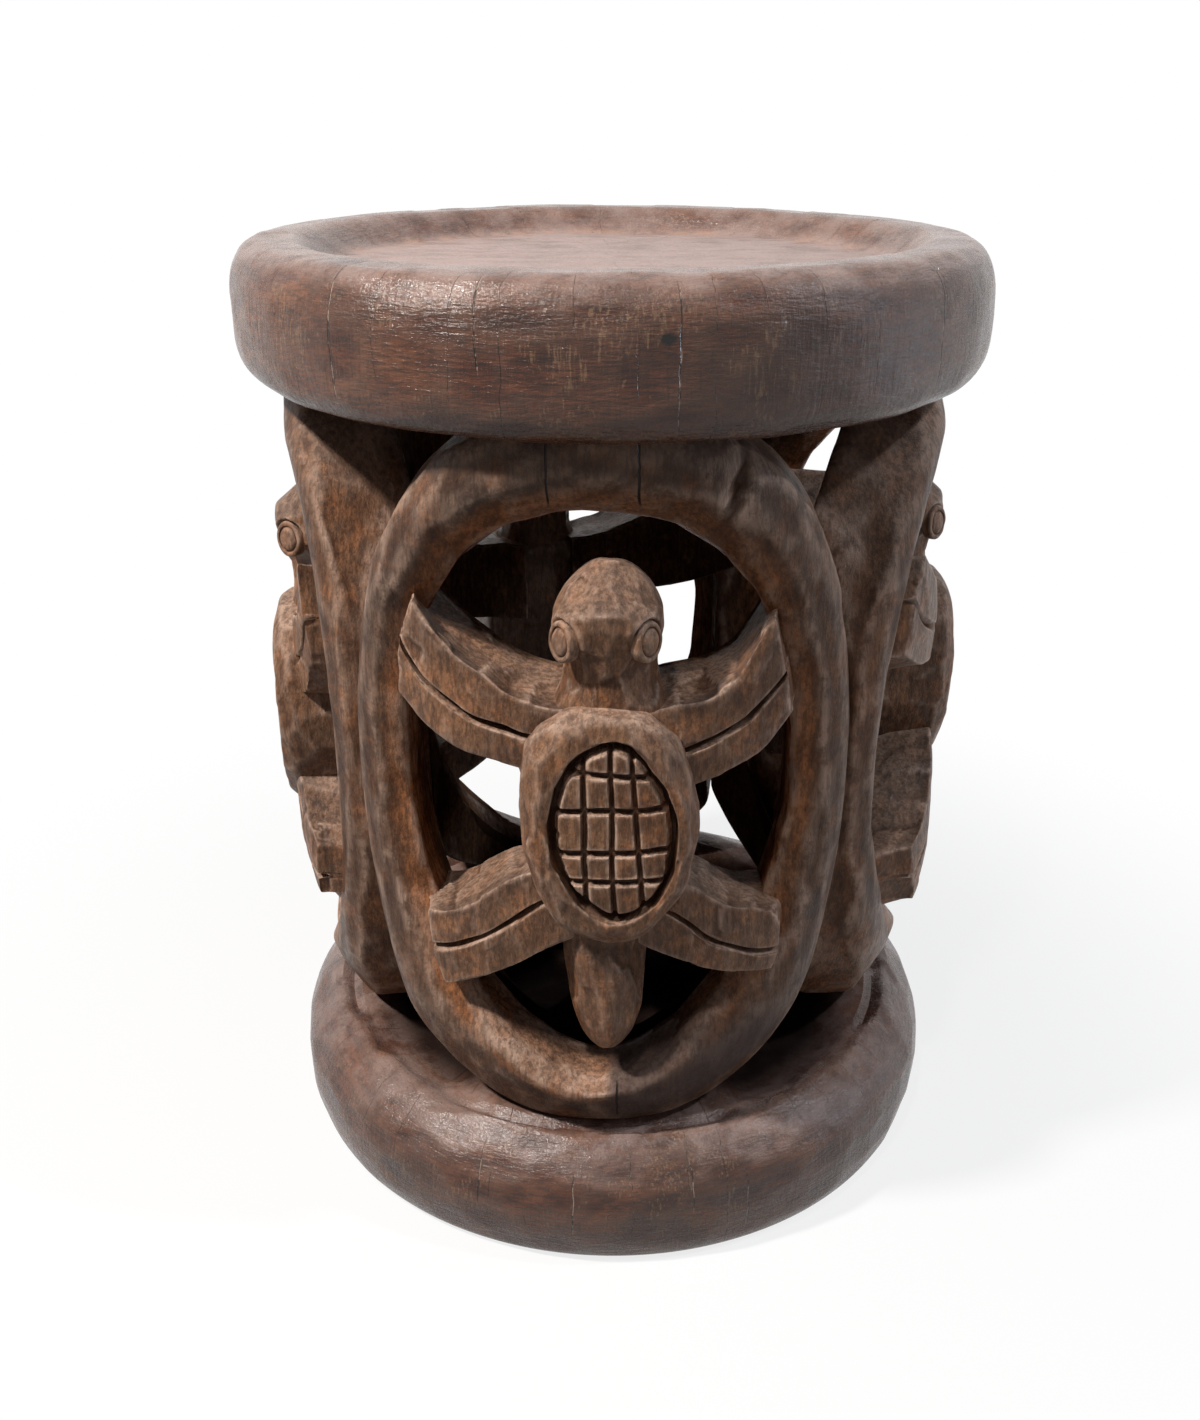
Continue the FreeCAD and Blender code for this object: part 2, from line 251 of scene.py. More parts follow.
def round_outline(knots, turns, centre):
    """Distance from a centre to a closed outline, at each turn."""
    knots = np.array(knots, float) * 0.001 - np.array(centre)
    angle = np.arctan2(knots[:, 1], knots[:, 0])
    reach = np.hypot(knots[:, 0], knots[:, 1])
    order = np.argsort(angle)
    angle, reach = angle[order], reach[order]
    angle = np.concatenate([angle[-3:] - 2 * math.pi, angle, angle[:3] + 2 * math.pi])
    reach = np.concatenate([reach[-3:], reach, reach[:3]])
    return smooth_line(np.column_stack([angle, reach]), turns)


# Marks of the tools

def chisel(piece, pitch, depth, seed, stretch=(1.0, 1.0, 1.0), where=None):
    """Flattens the surface into the shallow facets that a gouge leaves."""
    points, facing = points_of(piece), facing_of(piece)
    stretch = np.array(stretch)
    dealer = random.Random(seed)
    tries = dealer.sample(range(len(points)), min(len(points), 4000))
    chosen = []
    spread = points / stretch
    for n in tries:
        if chosen:
            away = np.linalg.norm(spread[chosen] - spread[n], axis=1)
            away += pitch * 0.9 * (1.0 - facing[chosen] @ facing[n])
            if away.min() < pitch * 0.75:
                continue
        chosen.append(n)
    best = np.full(len(points), np.inf)
    nearest = np.zeros(len(points), np.int64)
    for n in chosen:
        away = np.linalg.norm(spread - spread[n], axis=1) + pitch * 0.9 * (1.0 - facing @ facing[n])
        closer = away < best
        best[closer] = away[closer]
        nearest[closer] = n
    tilt = (facing * facing[nearest]).sum(1)
    out = ((points[nearest] - points) * facing[nearest]).sum(1) / np.maximum(tilt, 0.4)
    out = np.clip(out, -depth, depth) * between(tilt, 0.45, 0.8) - 0.35 * depth
    if where is not None:
        out = out * where
    place_points(piece, points + facing * out[:, None])


def neighbours_of(piece):
    """Gives a function that finds the middle of each point's neighbours."""
    ends = read_rows(piece.data.edges, "vertices", 2, np.int32)
    count = np.bincount(ends.ravel(), minlength=len(piece.data.vertices)).astype(float)

    def middle(points):
        total = np.zeros_like(points)
        for axis in range(3):
            total[:, axis] = (np.bincount(ends[:, 0], points[ends[:, 1], axis], len(points))
                              + np.bincount(ends[:, 1], points[ends[:, 0], axis], len(points)))
        return total / count[:, None]
    return middle


def settle(piece, rounds, where=None):
    """Rubs the surface down: each point moves halfway to the middle of its neighbours."""
    around = neighbours_of(piece)
    points = points_of(piece)
    for _ in range(rounds):
        step = (around(points) - points) * 0.5
        points = points + (step if where is None else step * where[:, None])
    place_points(piece, points)


def mark_edges(piece, rounds, full):
    """Keeps how far each point stands out of its surroundings, or lies below them."""
    around = neighbours_of(piece)
    points = points_of(piece)
    middle = points.copy()
    for _ in range(rounds):
        middle = 0.5 * middle + 0.5 * around(middle)
    proud = ((points - middle) * facing_of(piece)).sum(1)
    keep_mark(piece, "ridge", proud / full)
    keep_mark(piece, "hollow", -proud / full)


def roughen(piece, layers, sunk):
    """Pushes the surface out and in by layers of lumps: (amount, size, seed)."""
    points = points_of(piece)
    total = sum(amount * lumps(points, size, seed) for amount, size, seed in layers)
    place_points(piece, points + facing_of(piece) * (total - sunk)[:, None])


# Top and base, drawn out ring by ring from a small disc

def ring_by_ring(name, profile):
    piece = disc(name, profile[0][0], 320, profile[0][1])
    draw_out(piece, *profile[0], profile[1:])
    return piece


def bend(start, steps, radius, width, belly, face, power):
    """Rings round an edge: from the face above out to the belly, or from the belly to the face below."""
    rings = []
    for share in np.linspace(start, 1.0, steps):
        turn = 0.5 * math.pi * share
        up, out = math.cos(turn) ** (2 / power), math.sin(turn) ** (2 / power)
        if face < belly:
            up, out = out, up
        rings.append((radius - width + width * out, belly + (face - belly) * up))
    return rings


def table_top():
    """Round top: dished tray, soft raised rim, bulging edge."""
    floor_height = tray_rim - 0.013
    profile = [(0.004, floor_height)]
    profile += [(r, floor_height) for r in np.arange(0.010, 0.131, 0.005)]
    for share in np.linspace(0.0, 1.0, 9):
        profile.append((0.1325 + 0.0205 * share, floor_height + 0.013 * float(eased(share)) ** 0.85))
    profile += [(0.156, tray_rim), (0.159, tray_rim)]
    belly = tray_rim - 0.032
    profile += bend(0.04, 16, top_radius, 0.020, belly, tray_rim, 2.6)
    profile += bend(0.07, 16, top_radius, 0.024, belly, underside, 3.1)
    profile += [(r, underside) for r in np.arange(0.150, 0.010, -0.010)]
    piece = ring_by_ring("top_of_the_log", profile)
    points, facing = points_of(piece), facing_of(piece)
    reach = reach_of(points)
    height = points[:, 2]
    outside = between(reach, 0.140, 0.158)
    tray = (1.0 - between(reach, 0.128, 0.150)) * (height > 0.45)
    turn = np.arctan2(points[:, 0], -points[:, 1])
    sag = 0.0040 * between(-points[:, 1], 0.03, 0.15) * (1.0 - between(height, 0.424, 0.450))
    points[:, 2] -= sag * between(reach, 0.145, 0.160)
    wave = lumps(round_places(turn, height * 3.0), 0.55, 3)
    small = lumps(points, 0.024, 5)
    press = outside * (-0.0008 + 0.0007 * wave + 0.0005 * small)
    sunk = tray * (0.0006 * lumps(points, 0.05, 8) + 0.0004 * lumps(points, 0.018, 9) - 0.0004)
    points = points + facing * np.minimum(press + sunk, 0.0)[:, None]
    place_points(piece, points)
    chisel(piece, 0.030, 0.0005, 21, (1.0, 1.0, 0.6), outside)
    points = points_of(piece)
    points[:, 2] = np.minimum(points[:, 2], tray_rim)
    place_points(piece, points)
    reach = reach_of(points)
    above = points[:, 2] > 0.45
    keep_mark(piece, "dust", (1.0 - between(reach, 0.126, 0.143)) * above)
    edge = between(reach, 0.122, 0.130) * (1.0 - between(reach, 0.131, 0.139))
    keep_mark(piece, "tray_edge", edge * above)
    mark_edges(piece, 6, 0.0004)
    return piece


def base():
    """Round foot: bulging edge, shoulder that falls away under the hoops."""
    belly = 0.032
    profile = [(0.004, base_top)]
    profile += [(r, base_top) for r in np.arange(0.010, 0.142, 0.006)]
    profile += bend(0.06, 26, base_radius, 0.038, belly, base_top, 2.2)
    profile += bend(0.08, 12, base_radius, 0.013, belly, 0.0, 2.6)
    profile += [(r, 0.0) for r in np.arange(0.160, 0.010, -0.015)]
    piece = ring_by_ring("foot_of_the_log", profile)
    points, facing = points_of(piece), facing_of(piece)
    reach = reach_of(points)
    turn = np.degrees(np.arctan2(points[:, 0], -points[:, 1]))
    off_joint = np.full(len(points), 180.0)
    for bay in bays.values():
        for joint in (bay["middle"] - bay["half"], bay["middle"] + bay["half"]):
            off_joint = np.minimum(off_joint, np.abs((turn - joint + 180.0) % 360.0 - 180.0))
    above = between(points[:, 2], 0.030, 0.060)
    corner_pocket = (1.0 - between(off_joint, 9.0, 25.0)) * (1.0 - between(reach, 0.138, 0.160))
    trench = np.exp(-((reach - 0.1535) / 0.0045) ** 2) * between(off_joint, 11.0, 23.0)
    lip = np.exp(-((reach - 0.162) / 0.006) ** 2) * between(off_joint, 11.0, 25.0)
    points[:, 2] += above * (-0.010 * corner_pocket - 0.005 * trench + 0.0016 * lip)
    press = between(points[:, 2], 0.002, 0.010) * (-0.0009 + 0.0008 * lumps(points, 0.06, 11)
                                                   + 0.0005 * lumps(points, 0.022, 12))
    points = points + facing * np.minimum(press, 0.0)[:, None]
    place_points(piece, points)
    hewn = between(points[:, 2], 0.002, 0.012) * between(reach, 0.11, 0.14)
    chisel(piece, 0.028, 0.0007, 22, (1.0, 1.0, 0.7), hewn)
    points = points_of(piece)
    points[:, 2] = np.maximum(points[:, 2], 0.0)
    place_points(piece, points)
    mark_edges(piece, 6, 0.0004)
    return piece


# Hoop: a torus drawn out to an oval and wrapped round the log

def squared(value, power):
    """Swells a sine or cosine so that a circle grows towards a square."""
    return np.sign(value) * np.abs(value) ** (2.0 / power)


def uneven_oval(turn, left, right, drop, rise, powers):
    """Oval whose four quarters have their own half widths, half heights and fullness."""
    across, up = np.cos(turn), np.sin(turn)
    top_left, top_right, low_left, low_right = powers
    power = np.where(up >= 0.0, np.where(across < 0.0, top_left, top_right),
                     np.where(across < 0.0, low_left, low_right))
    x = squared(across, power) * np.where(across < 0.0, left, right)
    z = squared(up, power) * np.where(up < 0.0, drop, rise)
    return x, z


# Section of a limb: degrees round it, share of the way out of the opening, depth below the crest
limb_section = (
    (0, 1.00, 0.0200), (20, 1.00, 0.0115), (34, 0.985, 0.0070), (48, 0.90, 0.0034), (64, 0.76, 0.0009),
    (80, 0.63, 0.0000), (94, 0.51, 0.0002), (103, 0.43, 0.0006), (111, 0.36, 0.0018), (120, 0.27, 0.0048),
    (130, 0.16, 0.0088), (142, 0.05, 0.0130), (152, 0.00, 0.0170), (174, 0.00, 0.0270), (200, 0.00, 0.0440),
    (214, 0.03, 0.0490), (270, 0.50, 0.0500), (326, 0.97, 0.0490), (340, 1.00, 0.0420), (360, 1.00, 0.0200),
)


def cut_in(arc, depth, height, half_turn):
    """Point below the crest: rounded off towards the axis at first, then cut straight in."""
    skin = np.minimum(depth, 0.010)
    turn = arc / crest
    x = (crest - skin) * np.sin(turn)
    y = -(crest - skin) * np.cos(turn) + (depth - skin)
    reach = np.hypot(x, y)
    turn = np.clip(np.arctan2(x, -y), -half_turn, half_turn)
    return np.column_stack([reach * np.sin(turn), -reach * np.cos(turn), height])


def hoop(name, bay, seed):
    """Torus drawn out to an oval, wrapped round the log and hewn."""
    piece = begin(name, bpy.ops.mesh.primitive_torus_add, major_segments=384, minor_segments=80,
                  major_radius=0.12, minor_radius=0.02)
    ring = points_of(piece)
    turn = np.arctan2(ring[:, 1], ring[:, 0])
    round_limb = np.degrees(np.arctan2(ring[:, 2], reach_of(ring) - 0.12)) % 360.0
    out, depth = read_table(limb_section, round_limb)
    # under the tail the bevel ends in a sharp ridge and a level shelf runs in behind it
    low = between(-np.sin(turn), 0.60, 0.95)
    inner_side = 1.0 - between(out, 0.1, 0.6)
    inner_side = np.where(round_limb > 212, np.clip(1.0 - out, 0.0, 1.0), inner_side)
    bevelled = round_limb < 200
    shelf_depth = np.interp(round_limb, (0, 20, 60, 100, 132, 142, 152, 200),
                            (0.0240, 0.0190, 0.0105, 0.0042, 0.0000, 0.0022, 0.0080, 0.0440))
    depth = depth + low * bevelled * (shelf_depth - depth)
    out = out - 0.08 * low * between(depth, 0.006, 0.030) * inner_side
    out = out + 0.60 * low * between(depth, 0.034, 0.046) * (round_limb < 214)
    high = between(np.sin(turn), 0.60, 0.95)
    out = out - 0.11 * high * between(depth, 0.012, 0.040) * inner_side
    half_turn = math.radians(bay["half"])
    half_width = crest * half_turn
    belly = bay["low"] + 0.53 * (bay["high"] - bay["low"])
    outer = uneven_oval(turn, half_width, half_width, belly - hoop_low, hoop_high - belly,
                        (2.25, 2.4, 2.65, 2.45))
    inner = uneven_oval(turn, half_width - bay["limb"] + 0.0012, half_width - bay["limb"] - 0.0014,
                        belly - bay["low"], bay["high"] - belly, (2.25, 2.2, 1.8, 1.72))
    wobble = lumps(round_places(turn, 0 * turn), 0.42, seed)
    arc = inner[0] + (outer[0] - inner[0]) * out
    height = belly + inner[1] + (outer[1] - inner[1]) * out
    depth = depth + 0.0005 + 0.0005 * wobble * (depth < 0.010)
    if name != "carved_hoop_front":
        ends = 0.0050 * between(height, 0.385, 0.420) + 0.0040 * (1.0 - between(height, 0.075, 0.115))
        depth = depth + ends * (1.0 - between(depth, 0.030, 0.045))
    depth = np.clip(depth, 0.0, hoop_depth)
    place_points(piece, cut_in(arc, depth, height, half_turn))
    face_outwards(piece)
    settle(piece, 2)
    roughen(piece, ((0.0007, 0.034, seed + 1), (0.0002, 0.012, seed + 2)), 0.0004)
    chisel(piece, 0.021, 0.0008, seed + 3, (1.0, 1.0, 2.2))
    settle(piece, 3)
    if name == "carved_hoop_front":
        points, facing = points_of(piece), facing_of(piece)
        reach = reach_of(points)
        arc = np.arctan2(points[:, 0], -points[:, 1]) * crest
        above = points[:, 2] - 0.394
        cut = np.exp(-((arc - 0.0605 - 0.25 * above) / 0.0028) ** 2 - (above / 0.011) ** 2)
        points = points - facing * (0.0045 * cut * (reach > 0.150))[:, None]
        place_points(piece, points)
    patchy = np.clip(0.55 + 0.6 * lumps(round_places(turn, out * 0.3), 0.34, seed + 5), 0.0, 1.0)
    sooty = between(out, 0.22, 0.40) * (1.0 - between(out, 0.62, 0.86)) * (depth < 0.012)
    sooty = sooty * (0.35 + 0.65 * patchy)
    if name == "carved_hoop_front":
        points = points_of(piece)
        # painted shadow: shelf and bevel of the low limb right of the middle, darkened where the turtle's
        # shadow falls
        foot = (1.0 - between(points[:, 2], 0.112, 0.150)) * between(points[:, 0], 0.001, 0.008)
        keep_mark(piece, "painted_turtle_shadow", foot * (1.0 - between(out, 0.70, 0.95)))
        sooty = np.maximum(sooty, 0.85 * between(out, 0.45, 0.65) * (depth < 0.030))
    keep_mark(piece, "soot", sooty)
    keep_mark(piece, "bevel", (1.0 - between(out, 0.22, 0.40)) * (1.0 - between(depth, 0.022, 0.040)))
    mark_edges(piece, 5, 0.0004)
    return piece


# Turtle: outlines measured from its own middle, in millimetres across and up
shell_outline = (
    (-13, 302), (1, 303), (14, 301), (29, 290), (35, 279), (39, 262), (41, 246), (39, 231), (34, 215),
    (25, 203), (13, 191), (1, 189), (-10, 191), (-22, 198), (-30, 213), (-35, 229), (-38, 244), (-38, 262),
    (-37, 277), (-33, 288), (-24, 297),
)
pocket_outline = (
    (3.4, 290.5), (12.3, 286.5), (20.3, 276.5), (27, 264), (30.1, 248.7), (29.6, 237), (26.5, 223.5),
    (19.4, 212.8), (11.4, 207), (3.4, 205.5), (-5.5, 210), (-13.5, 217.2), (-19.8, 229), (-22.9, 245),
    (-22.4, 260.4), (-19.8, 271.2), (-13.5, 281), (-5.5, 287.5),
)
shell_centre = (0.001, 0.246)
pocket_centre = (0.0036, 0.2478)
# Ring, share of the way from the shell's outline in to the pocket's, scale, distance from the axis
shell_section = (
    (0, 0.0, 0.50, 0.1275), (5, 0.0, 0.90, 0.1277), (7, 0.0, 0.955, 0.1300), (9, 0.0, 0.975, 0.1350),
    (22, 0.0, 1.00, 0.1640), (28, 0.0, 1.00, 0.1735), (31, 0.04, 1.00, 0.1768), (35, 0.20, 1.00, 0.1808),
    (39, 0.42, 1.00, 0.1836), (44, 0.72, 1.00, 0.1843), (48, 0.90, 1.00, 0.1838), (50, 0.96, 1.00, 0.1828),
    (52, 0.98, 1.00, 0.1810), (57, 1.00, 1.00, 0.1745), (58, 1.00, 0.96, 0.1738), (62, 1.00, 0.40, 0.1738),
)


def turtle_shell(name, seed):
    """Egg-shaped block: straight sides, hewn bevel, broad rim and a sunk pocket."""
    piece = disc(name, 1.0, 176)
    for _ in range(62):
        bpy.ops.mesh.extrude_region_move(TRANSFORM_OT_translate={"value": (0.0, 0.0, 1.0)})
    bpy.ops.mesh.merge(type="CENTER")
    done_editing()
    raw = points_of(piece)
    row = np.round(raw[:, 2])
    at_centre = reach_of(raw) < 0.5
    angle = np.arctan2(raw[:, 1], raw[:, 0])
    shell = round_outline(shell_outline, angle, shell_centre)
    pocket = round_outline(pocket_outline, angle, pocket_centre)
    inward, scale, radius = read_table(shell_section, row)
    x, z = (np.where(at_centre, own, own + ((1 - inward) * (shell * way + own)
                                            + inward * (pocket * way + other) - own) * scale)
            for own, other, way in zip(shell_centre, pocket_centre, (np.cos(angle), np.sin(angle))))
    # the crest of the shell is flatter across than the log, and falls off towards head and tail
    middle, half_height = shell_centre[1], 0.057
    fall = ((z - middle) / half_height) ** 2
    fall = 0.0024 * fall * (z < middle) + 0.0038 * fall * (z > middle)
    radius = radius - between(row, 26, 40) * fall * (row < 54)
    y = -np.sqrt(np.maximum(radius ** 2 - 0.6 * x ** 2, 1e-6))
    place_points(piece, np.column_stack([x + turtle_shift, y, z]))
    face_outwards(piece, merge=True)
    settle(piece, 2, between(-points_of(piece)[:, 1], 0.150, 0.170))
    roughen(piece, ((0.0005, 0.020, seed), (0.0003, 0.008, seed + 1)), 0.0004)
    chisel(piece, 0.0170, 0.0009, seed + 2, (1.0, 1.0, 1.2))
    settle(piece, 2)
    mark_edges(piece, 4, 0.0003)
    return piece


# Grooves of the shell's plate: place at the top and at the bottom (millimetres)
plate_columns = ((-9.5, -8.2), (2.1, 3.9), (11.0, 17.2))
plate_rows = ((277.5, 275.2), (259.0, 260.4), (238.8, 240.6), (224.5, 225.8))


def pocket_edge(x, z, seed):
    """Distance of each place from the pocket's middle, and of the plate's edge there."""
    angle = np.arctan2(z, x)
    edge = round_outline(pocket_outline, angle, pocket_centre) - 0.0018
    return np.hypot(x, z), edge + 0.0007 * lumps(round_places(angle, 0 * angle), 0.12, seed)


def shell_plate(name, seed):
    """Domed plate cut into squares by grooves that were struck by hand."""
    piece = begin(name, bpy.ops.mesh.primitive_grid_add, x_subdivisions=92, y_subdivisions=140, size=1.0)
    x, z = points_of(piece)[:, :2].T * ((0.066,), (0.100,))
    reach, edge = pocket_edge(x, z, seed)
    place_points(piece, np.column_stack([x, z, 0 * x]))
    pick_points(piece, reach > edge * 1.04)
    bpy.ops.mesh.delete(type="VERT")
    done_editing()
    x, z = points_of(piece)[:, :2].T
    reach, edge = pocket_edge(x, z, seed)
    held = np.minimum(reach, edge)
    x = x * held / np.maximum(reach, 1e-6)
    z = z * held / np.maximum(reach, 1e-6)
    height = z + pocket_centre[1]
    across = x + pocket_centre[0]
    up = (height * 1000.0 - 205.5) / 85.0
    flat = np.column_stack([across, height, 0 * across])
    sway = 0.0007 * lumps(flat, 0.014, seed + 3)
    cut = np.zeros(len(x))
    tile_top = np.full(len(x), 1.0)
    for at_top, at_low in plate_columns:
        away = across + sway - 0.001 * (at_low + (at_top - at_low) * up)
        cut = np.maximum(cut, 1.0 - between(np.abs(away), 0.0003, 0.0017))
    for at_left, at_right in plate_rows:
        away = height + sway - 0.001 * (at_left + (at_right - at_left) * (x / 0.050 + 0.5))
        cut = np.maximum(cut, 1.0 - between(np.abs(away), 0.0005, 0.0021))
        tile_top = np.minimum(tile_top, between(-away, -0.004, 0.0) + between(-away, 0.0015, 0.0055))
    rim_fall = between(edge - held, 0.0, 0.0018)
    radius = 0.1836 - 0.0016 * (np.hypot(x / 0.0265, z / 0.0425)) ** 2
    radius = radius + 0.0004 * lumps(flat, 0.009, seed + 4) - 0.0034 * cut
    radius = radius - 0.0009 * (1.0 - np.clip(tile_top, 0.0, 1.0))
    radius = radius - 0.0030 * (1.0 - rim_fall)
    y = -np.sqrt(radius ** 2 - 0.6 * across ** 2)
    place_points(piece, np.column_stack([across + turtle_shift, y, height]))
    edit_all(piece)
    bpy.ops.mesh.extrude_region_move(TRANSFORM_OT_translate={"value": (0.0, 0.0, 0.0)})
    bpy.ops.transform.translate(value=(0.0, 0.0085, 0.0))
    done_editing()
    points = points_of(piece)
    points[[vertex.select for vertex in piece.data.vertices], 1] = -0.1732
    place_points(piece, points)
    face_outwards(piece, merge=True)
    mark_edges(piece, 4, 0.0003)
    return piece


def ball(name, segments, rings):
    piece = begin(name, bpy.ops.mesh.primitive_uv_sphere_add, segments=segments, ring_count=rings,
                  radius=1.0)
    raw = points_of(piece)
    around = np.arctan2(raw[:, 0], -raw[:, 1])
    up = 0.5 + np.arcsin(np.clip(raw[:, 2], -1.0, 1.0)) / math.pi
    return piece, around, up


# Head by height: half widths, nape and brow, all in millimetres
head_left = (
    (290, 25.5), (297, 24.2), (302, 22.0), (307, 20.0), (312, 19.0), (317, 19.0), (322, 19.8), (328, 21.6),
    (334, 23.0), (340, 22.6), (345, 20.8), (350, 17.8), (355, 13.6), (359, 9.0), (361.6, 5.0), (363, 2.0),
)
head_right = (
    (290, 26.5), (297, 26.0), (302, 25.0), (307, 23.6), (312, 22.4), (317, 21.8), (322, 22.0), (328, 23.2),
    (334, 24.0), (340, 23.8), (345, 22.4), (350, 20.0), (355, 16.4), (359, 12.0), (361.6, 8.0), (363, 3.5),
)
head_napes = ((290, 129.5), (320, 129.0), (343, 130.5), (353, 135.0), (359, 142.0), (363, 150.5))
head_brows = (
    (290, 172.5), (300, 171.5), (310, 170.4), (320, 171.6), (330, 174.4), (338, 176.0), (345, 175.4),
    (351, 172.2), (357, 166.0), (363, 156.5),
)
eye_spots = ((-0.0178, 0.3320), (0.0172, 0.3325))
# Eye: radius and height of each ring, with the cut ring near its middle (metres)
eye_rings = (
    (0.0081, 0.0015), (0.0081, 0.0030), (0.0080, 0.0040), (0.0077, 0.0046), (0.0072, 0.0050),
    (0.0066, 0.0051), (0.0061, 0.0050), (0.0058, 0.0046), (0.0055, 0.0043), (0.0052, 0.0045),
    (0.0048, 0.0051), (0.0042, 0.0055), (0.0032, 0.0058), (0.0020, 0.0060), (0.0010, 0.0060),
)


def turtle_head(name, seed):
    piece, around, up = ball(name, 168, 104)
    height = metres_line(((0, 290), (0.08, 292), (0.5, 328), (0.86, 356.5), (0.95, 361.6), (1, 363)), up)
    level = height * 1000.0
    nape, brow = metres_line(head_napes, level), metres_line(head_brows, level)
    s, c = np.sin(around), np.cos(around)
    half = np.where(s < 0.0, metres_line(head_left, level), metres_line(head_right, level))
    x = half * squared(s, 2.35) * between(up, 0.0, 0.03)
    y = -(0.5 * (nape + brow) + 0.5 * (brow - nape) * squared(c, 2.35))
    points = np.column_stack([x, y, height])
    # the face is drawn in beside the nose, below the eyes
    front = between(-points[:, 1], 0.150, 0.168)
    cheek = np.exp(-((np.abs(points[:, 0]) - 0.0165) / 0.006) ** 2 - ((points[:, 2] - 0.318) / 0.010) ** 2)
    points[:, 1] += front * 0.0040 * cheek
    # the crown is hewn back from a brow line that arches from eye to eye, and rises to a soft ridge
    side = np.abs(points[:, 0] - 0.001)
    brow_line = 0.3450 - 0.0100 * np.minimum(side / 0.020, 1.4) ** 2.0
    hewn = 0.1765 - (points[:, 2] - brow_line) * 1.15 - 0.10 * np.maximum(side - 0.004, 0.0)
    hewn = np.where(points[:, 2] > brow_line, hewn, 1.0)
    y = points[:, 1]
    points[:, 1] = np.where(y < -0.148, np.maximum(y, -np.maximum(hewn, 0.148)), y)
    place_points(piece, points)
    face_outwards(piece)
    roughen(piece, ((0.0005, 0.017, seed), (0.0003, 0.007, seed + 1)), 0.0003)
    chisel(piece, 0.0150, 0.0006, seed + 2, (1.0, 1.0, 1.3))
    settle(piece, 2)
    points = points_of(piece)
    for x0, z0 in eye_spots:
        middle, look = eye_place(x0, z0)
        away = points - np.array(middle)
        along = away @ np.array(look)
        side = away - along[:, None] * np.array(look)
        spread = np.linalg.norm(side, axis=1)
        lidded = np.exp(-((spread - 0.0108) / 0.0020) ** 2) * (along > -0.012)
        sunk = (1.0 - between(spread, 0.0086, 0.0104)) * (along > -0.012)
        new = along * (1.0 - sunk) + np.minimum(along, -0.0010) * sunk
        new = new + 0.0009 * lidded * (points[:, 2] > z0 - 0.002)
        points = points + (new - along)[:, None] * np.array(look)
    points[:, 0] += turtle_shift
    place_points(piece, points)
    brows = between(-points[:, 1], 0.150, 0.172) * between(points[:, 2], 0.334, 0.350)
    keep_mark(piece, "soot", brows * 0.6)
    mark_edges(piece, 4, 0.0003)
    return piece


def eye_place(x, z):
    """Middle of an eye's socket on the cheek, and the way that the eye looks."""
    side = math.copysign(1.0, x)
    look = Vector((side * math.sin(math.radians(50.0)), -math.cos(math.radians(50.0)), 0.06)).normalized()
    return Vector((x, -0.1685, z)), look


def turtle_eye(name, spot, seed):
    """Raised disc with a ring cut into its face."""
    middle, look = eye_place(*spot)
    piece = disc(name, 0.0080, 72)
    draw_out(piece, 0.0080, 0.0, eye_rings)
    points = points_of(piece)
    points[:, 1] *= 1.13
    points[:, 0] *= 0.97 + 0.02 * np.sin(seed)
    turned = look.to_track_quat("Z", "Y").to_matrix()
    points = points @ np.array(turned).T + np.array(middle - look * 0.0030)
    points[:, 0] += turtle_shift
    points = points + 0.0002 * lumps(points, 0.004, seed)[:, None]
    place_points(piece, points)
    mark_edges(piece, 3, 0.0002)
    return piece


# Tail by height: half widths, line of its ridge, front and back, all in millimetres
tail_left = ((118.6, 0.6), (119.8, 5.0), (124, 10.5), (132, 15.0), (142, 17.6), (152, 19.0), (159, 19.6),
             (170, 20.4), (184, 21.0), (198, 21.0))
tail_right = ((118.6, 0.8), (119.8, 5.2), (124, 10.4), (131, 14.2), (139, 16.2), (149, 17.4), (159, 18.0),
              (170, 18.4), (181, 18.6), (198, 18.6))
tail_keel = ((118, 0.0), (135, 0.5), (150, -1.0), (165, -6.0), (180, -12.0), (198, -14.0))
tail_front = ((118.6, 158.5), (121, 162.0), (128, 165.6), (142, 168.0), (165, 168.4), (198, 166.0))
tail_back = ((118.6, 150.0), (123, 142.0), (138, 133.0), (165, 129.5), (198, 129.0))


def turtle_tail(name, seed):
    piece, around, up = ball(name, 128, 96)
    height = metres_line(((0, 118.6), (0.04, 119.3), (0.15, 125), (0.5, 157), (0.92, 196), (1, 198)), up)
    level = height * 1000.0
    s, c = np.sin(around), np.cos(around)
    half = np.where(s < 0, metres_line(tail_left, level), metres_line(tail_right, level))
    x = half * squared(s, 2.3)
    front, back = metres_line(tail_front, level), metres_line(tail_back, level)
    keel = metres_line(tail_keel, level)
    depth = squared(c, 2.3)
    y = -(0.5 * (front + back) + 0.5 * (front - back) * depth)
    facing_front = between(depth, 0.1, 0.6)
    fall = np.abs(x - keel)
    y = y + facing_front * (0.0058 * np.minimum(fall / 0.018, 1.4) ** 1.1 - 0.0012)
    place_points(piece, np.column_stack([x, y, height]))
    face_outwards(piece)
    settle(piece, 2)
    roughen(piece, ((0.0005, 0.016, seed),), 0.0002)
    chisel(piece, 0.0160, 0.0006, seed + 1, (1.0, 1.0, 1.9))
    settle(piece, 2)
    points = points_of(piece)
    points[:, 2] = np.maximum(points[:, 2], 0.1180)
    level = points[:, 2] * 1000.0
    keel = metres_line(tail_keel, level)
    worn = np.exp(-((points[:, 0] - keel) / 0.0022) ** 2) * between(-points[:, 1], 0.158, 0.163)
    points[:, 0] += turtle_shift
    place_points(piece, points)
    keep_mark(piece, "bevel", worn * (1.0 - between(points[:, 2], 0.150, 0.165)))
    mark_edges(piece, 4, 0.0003)
    return piece


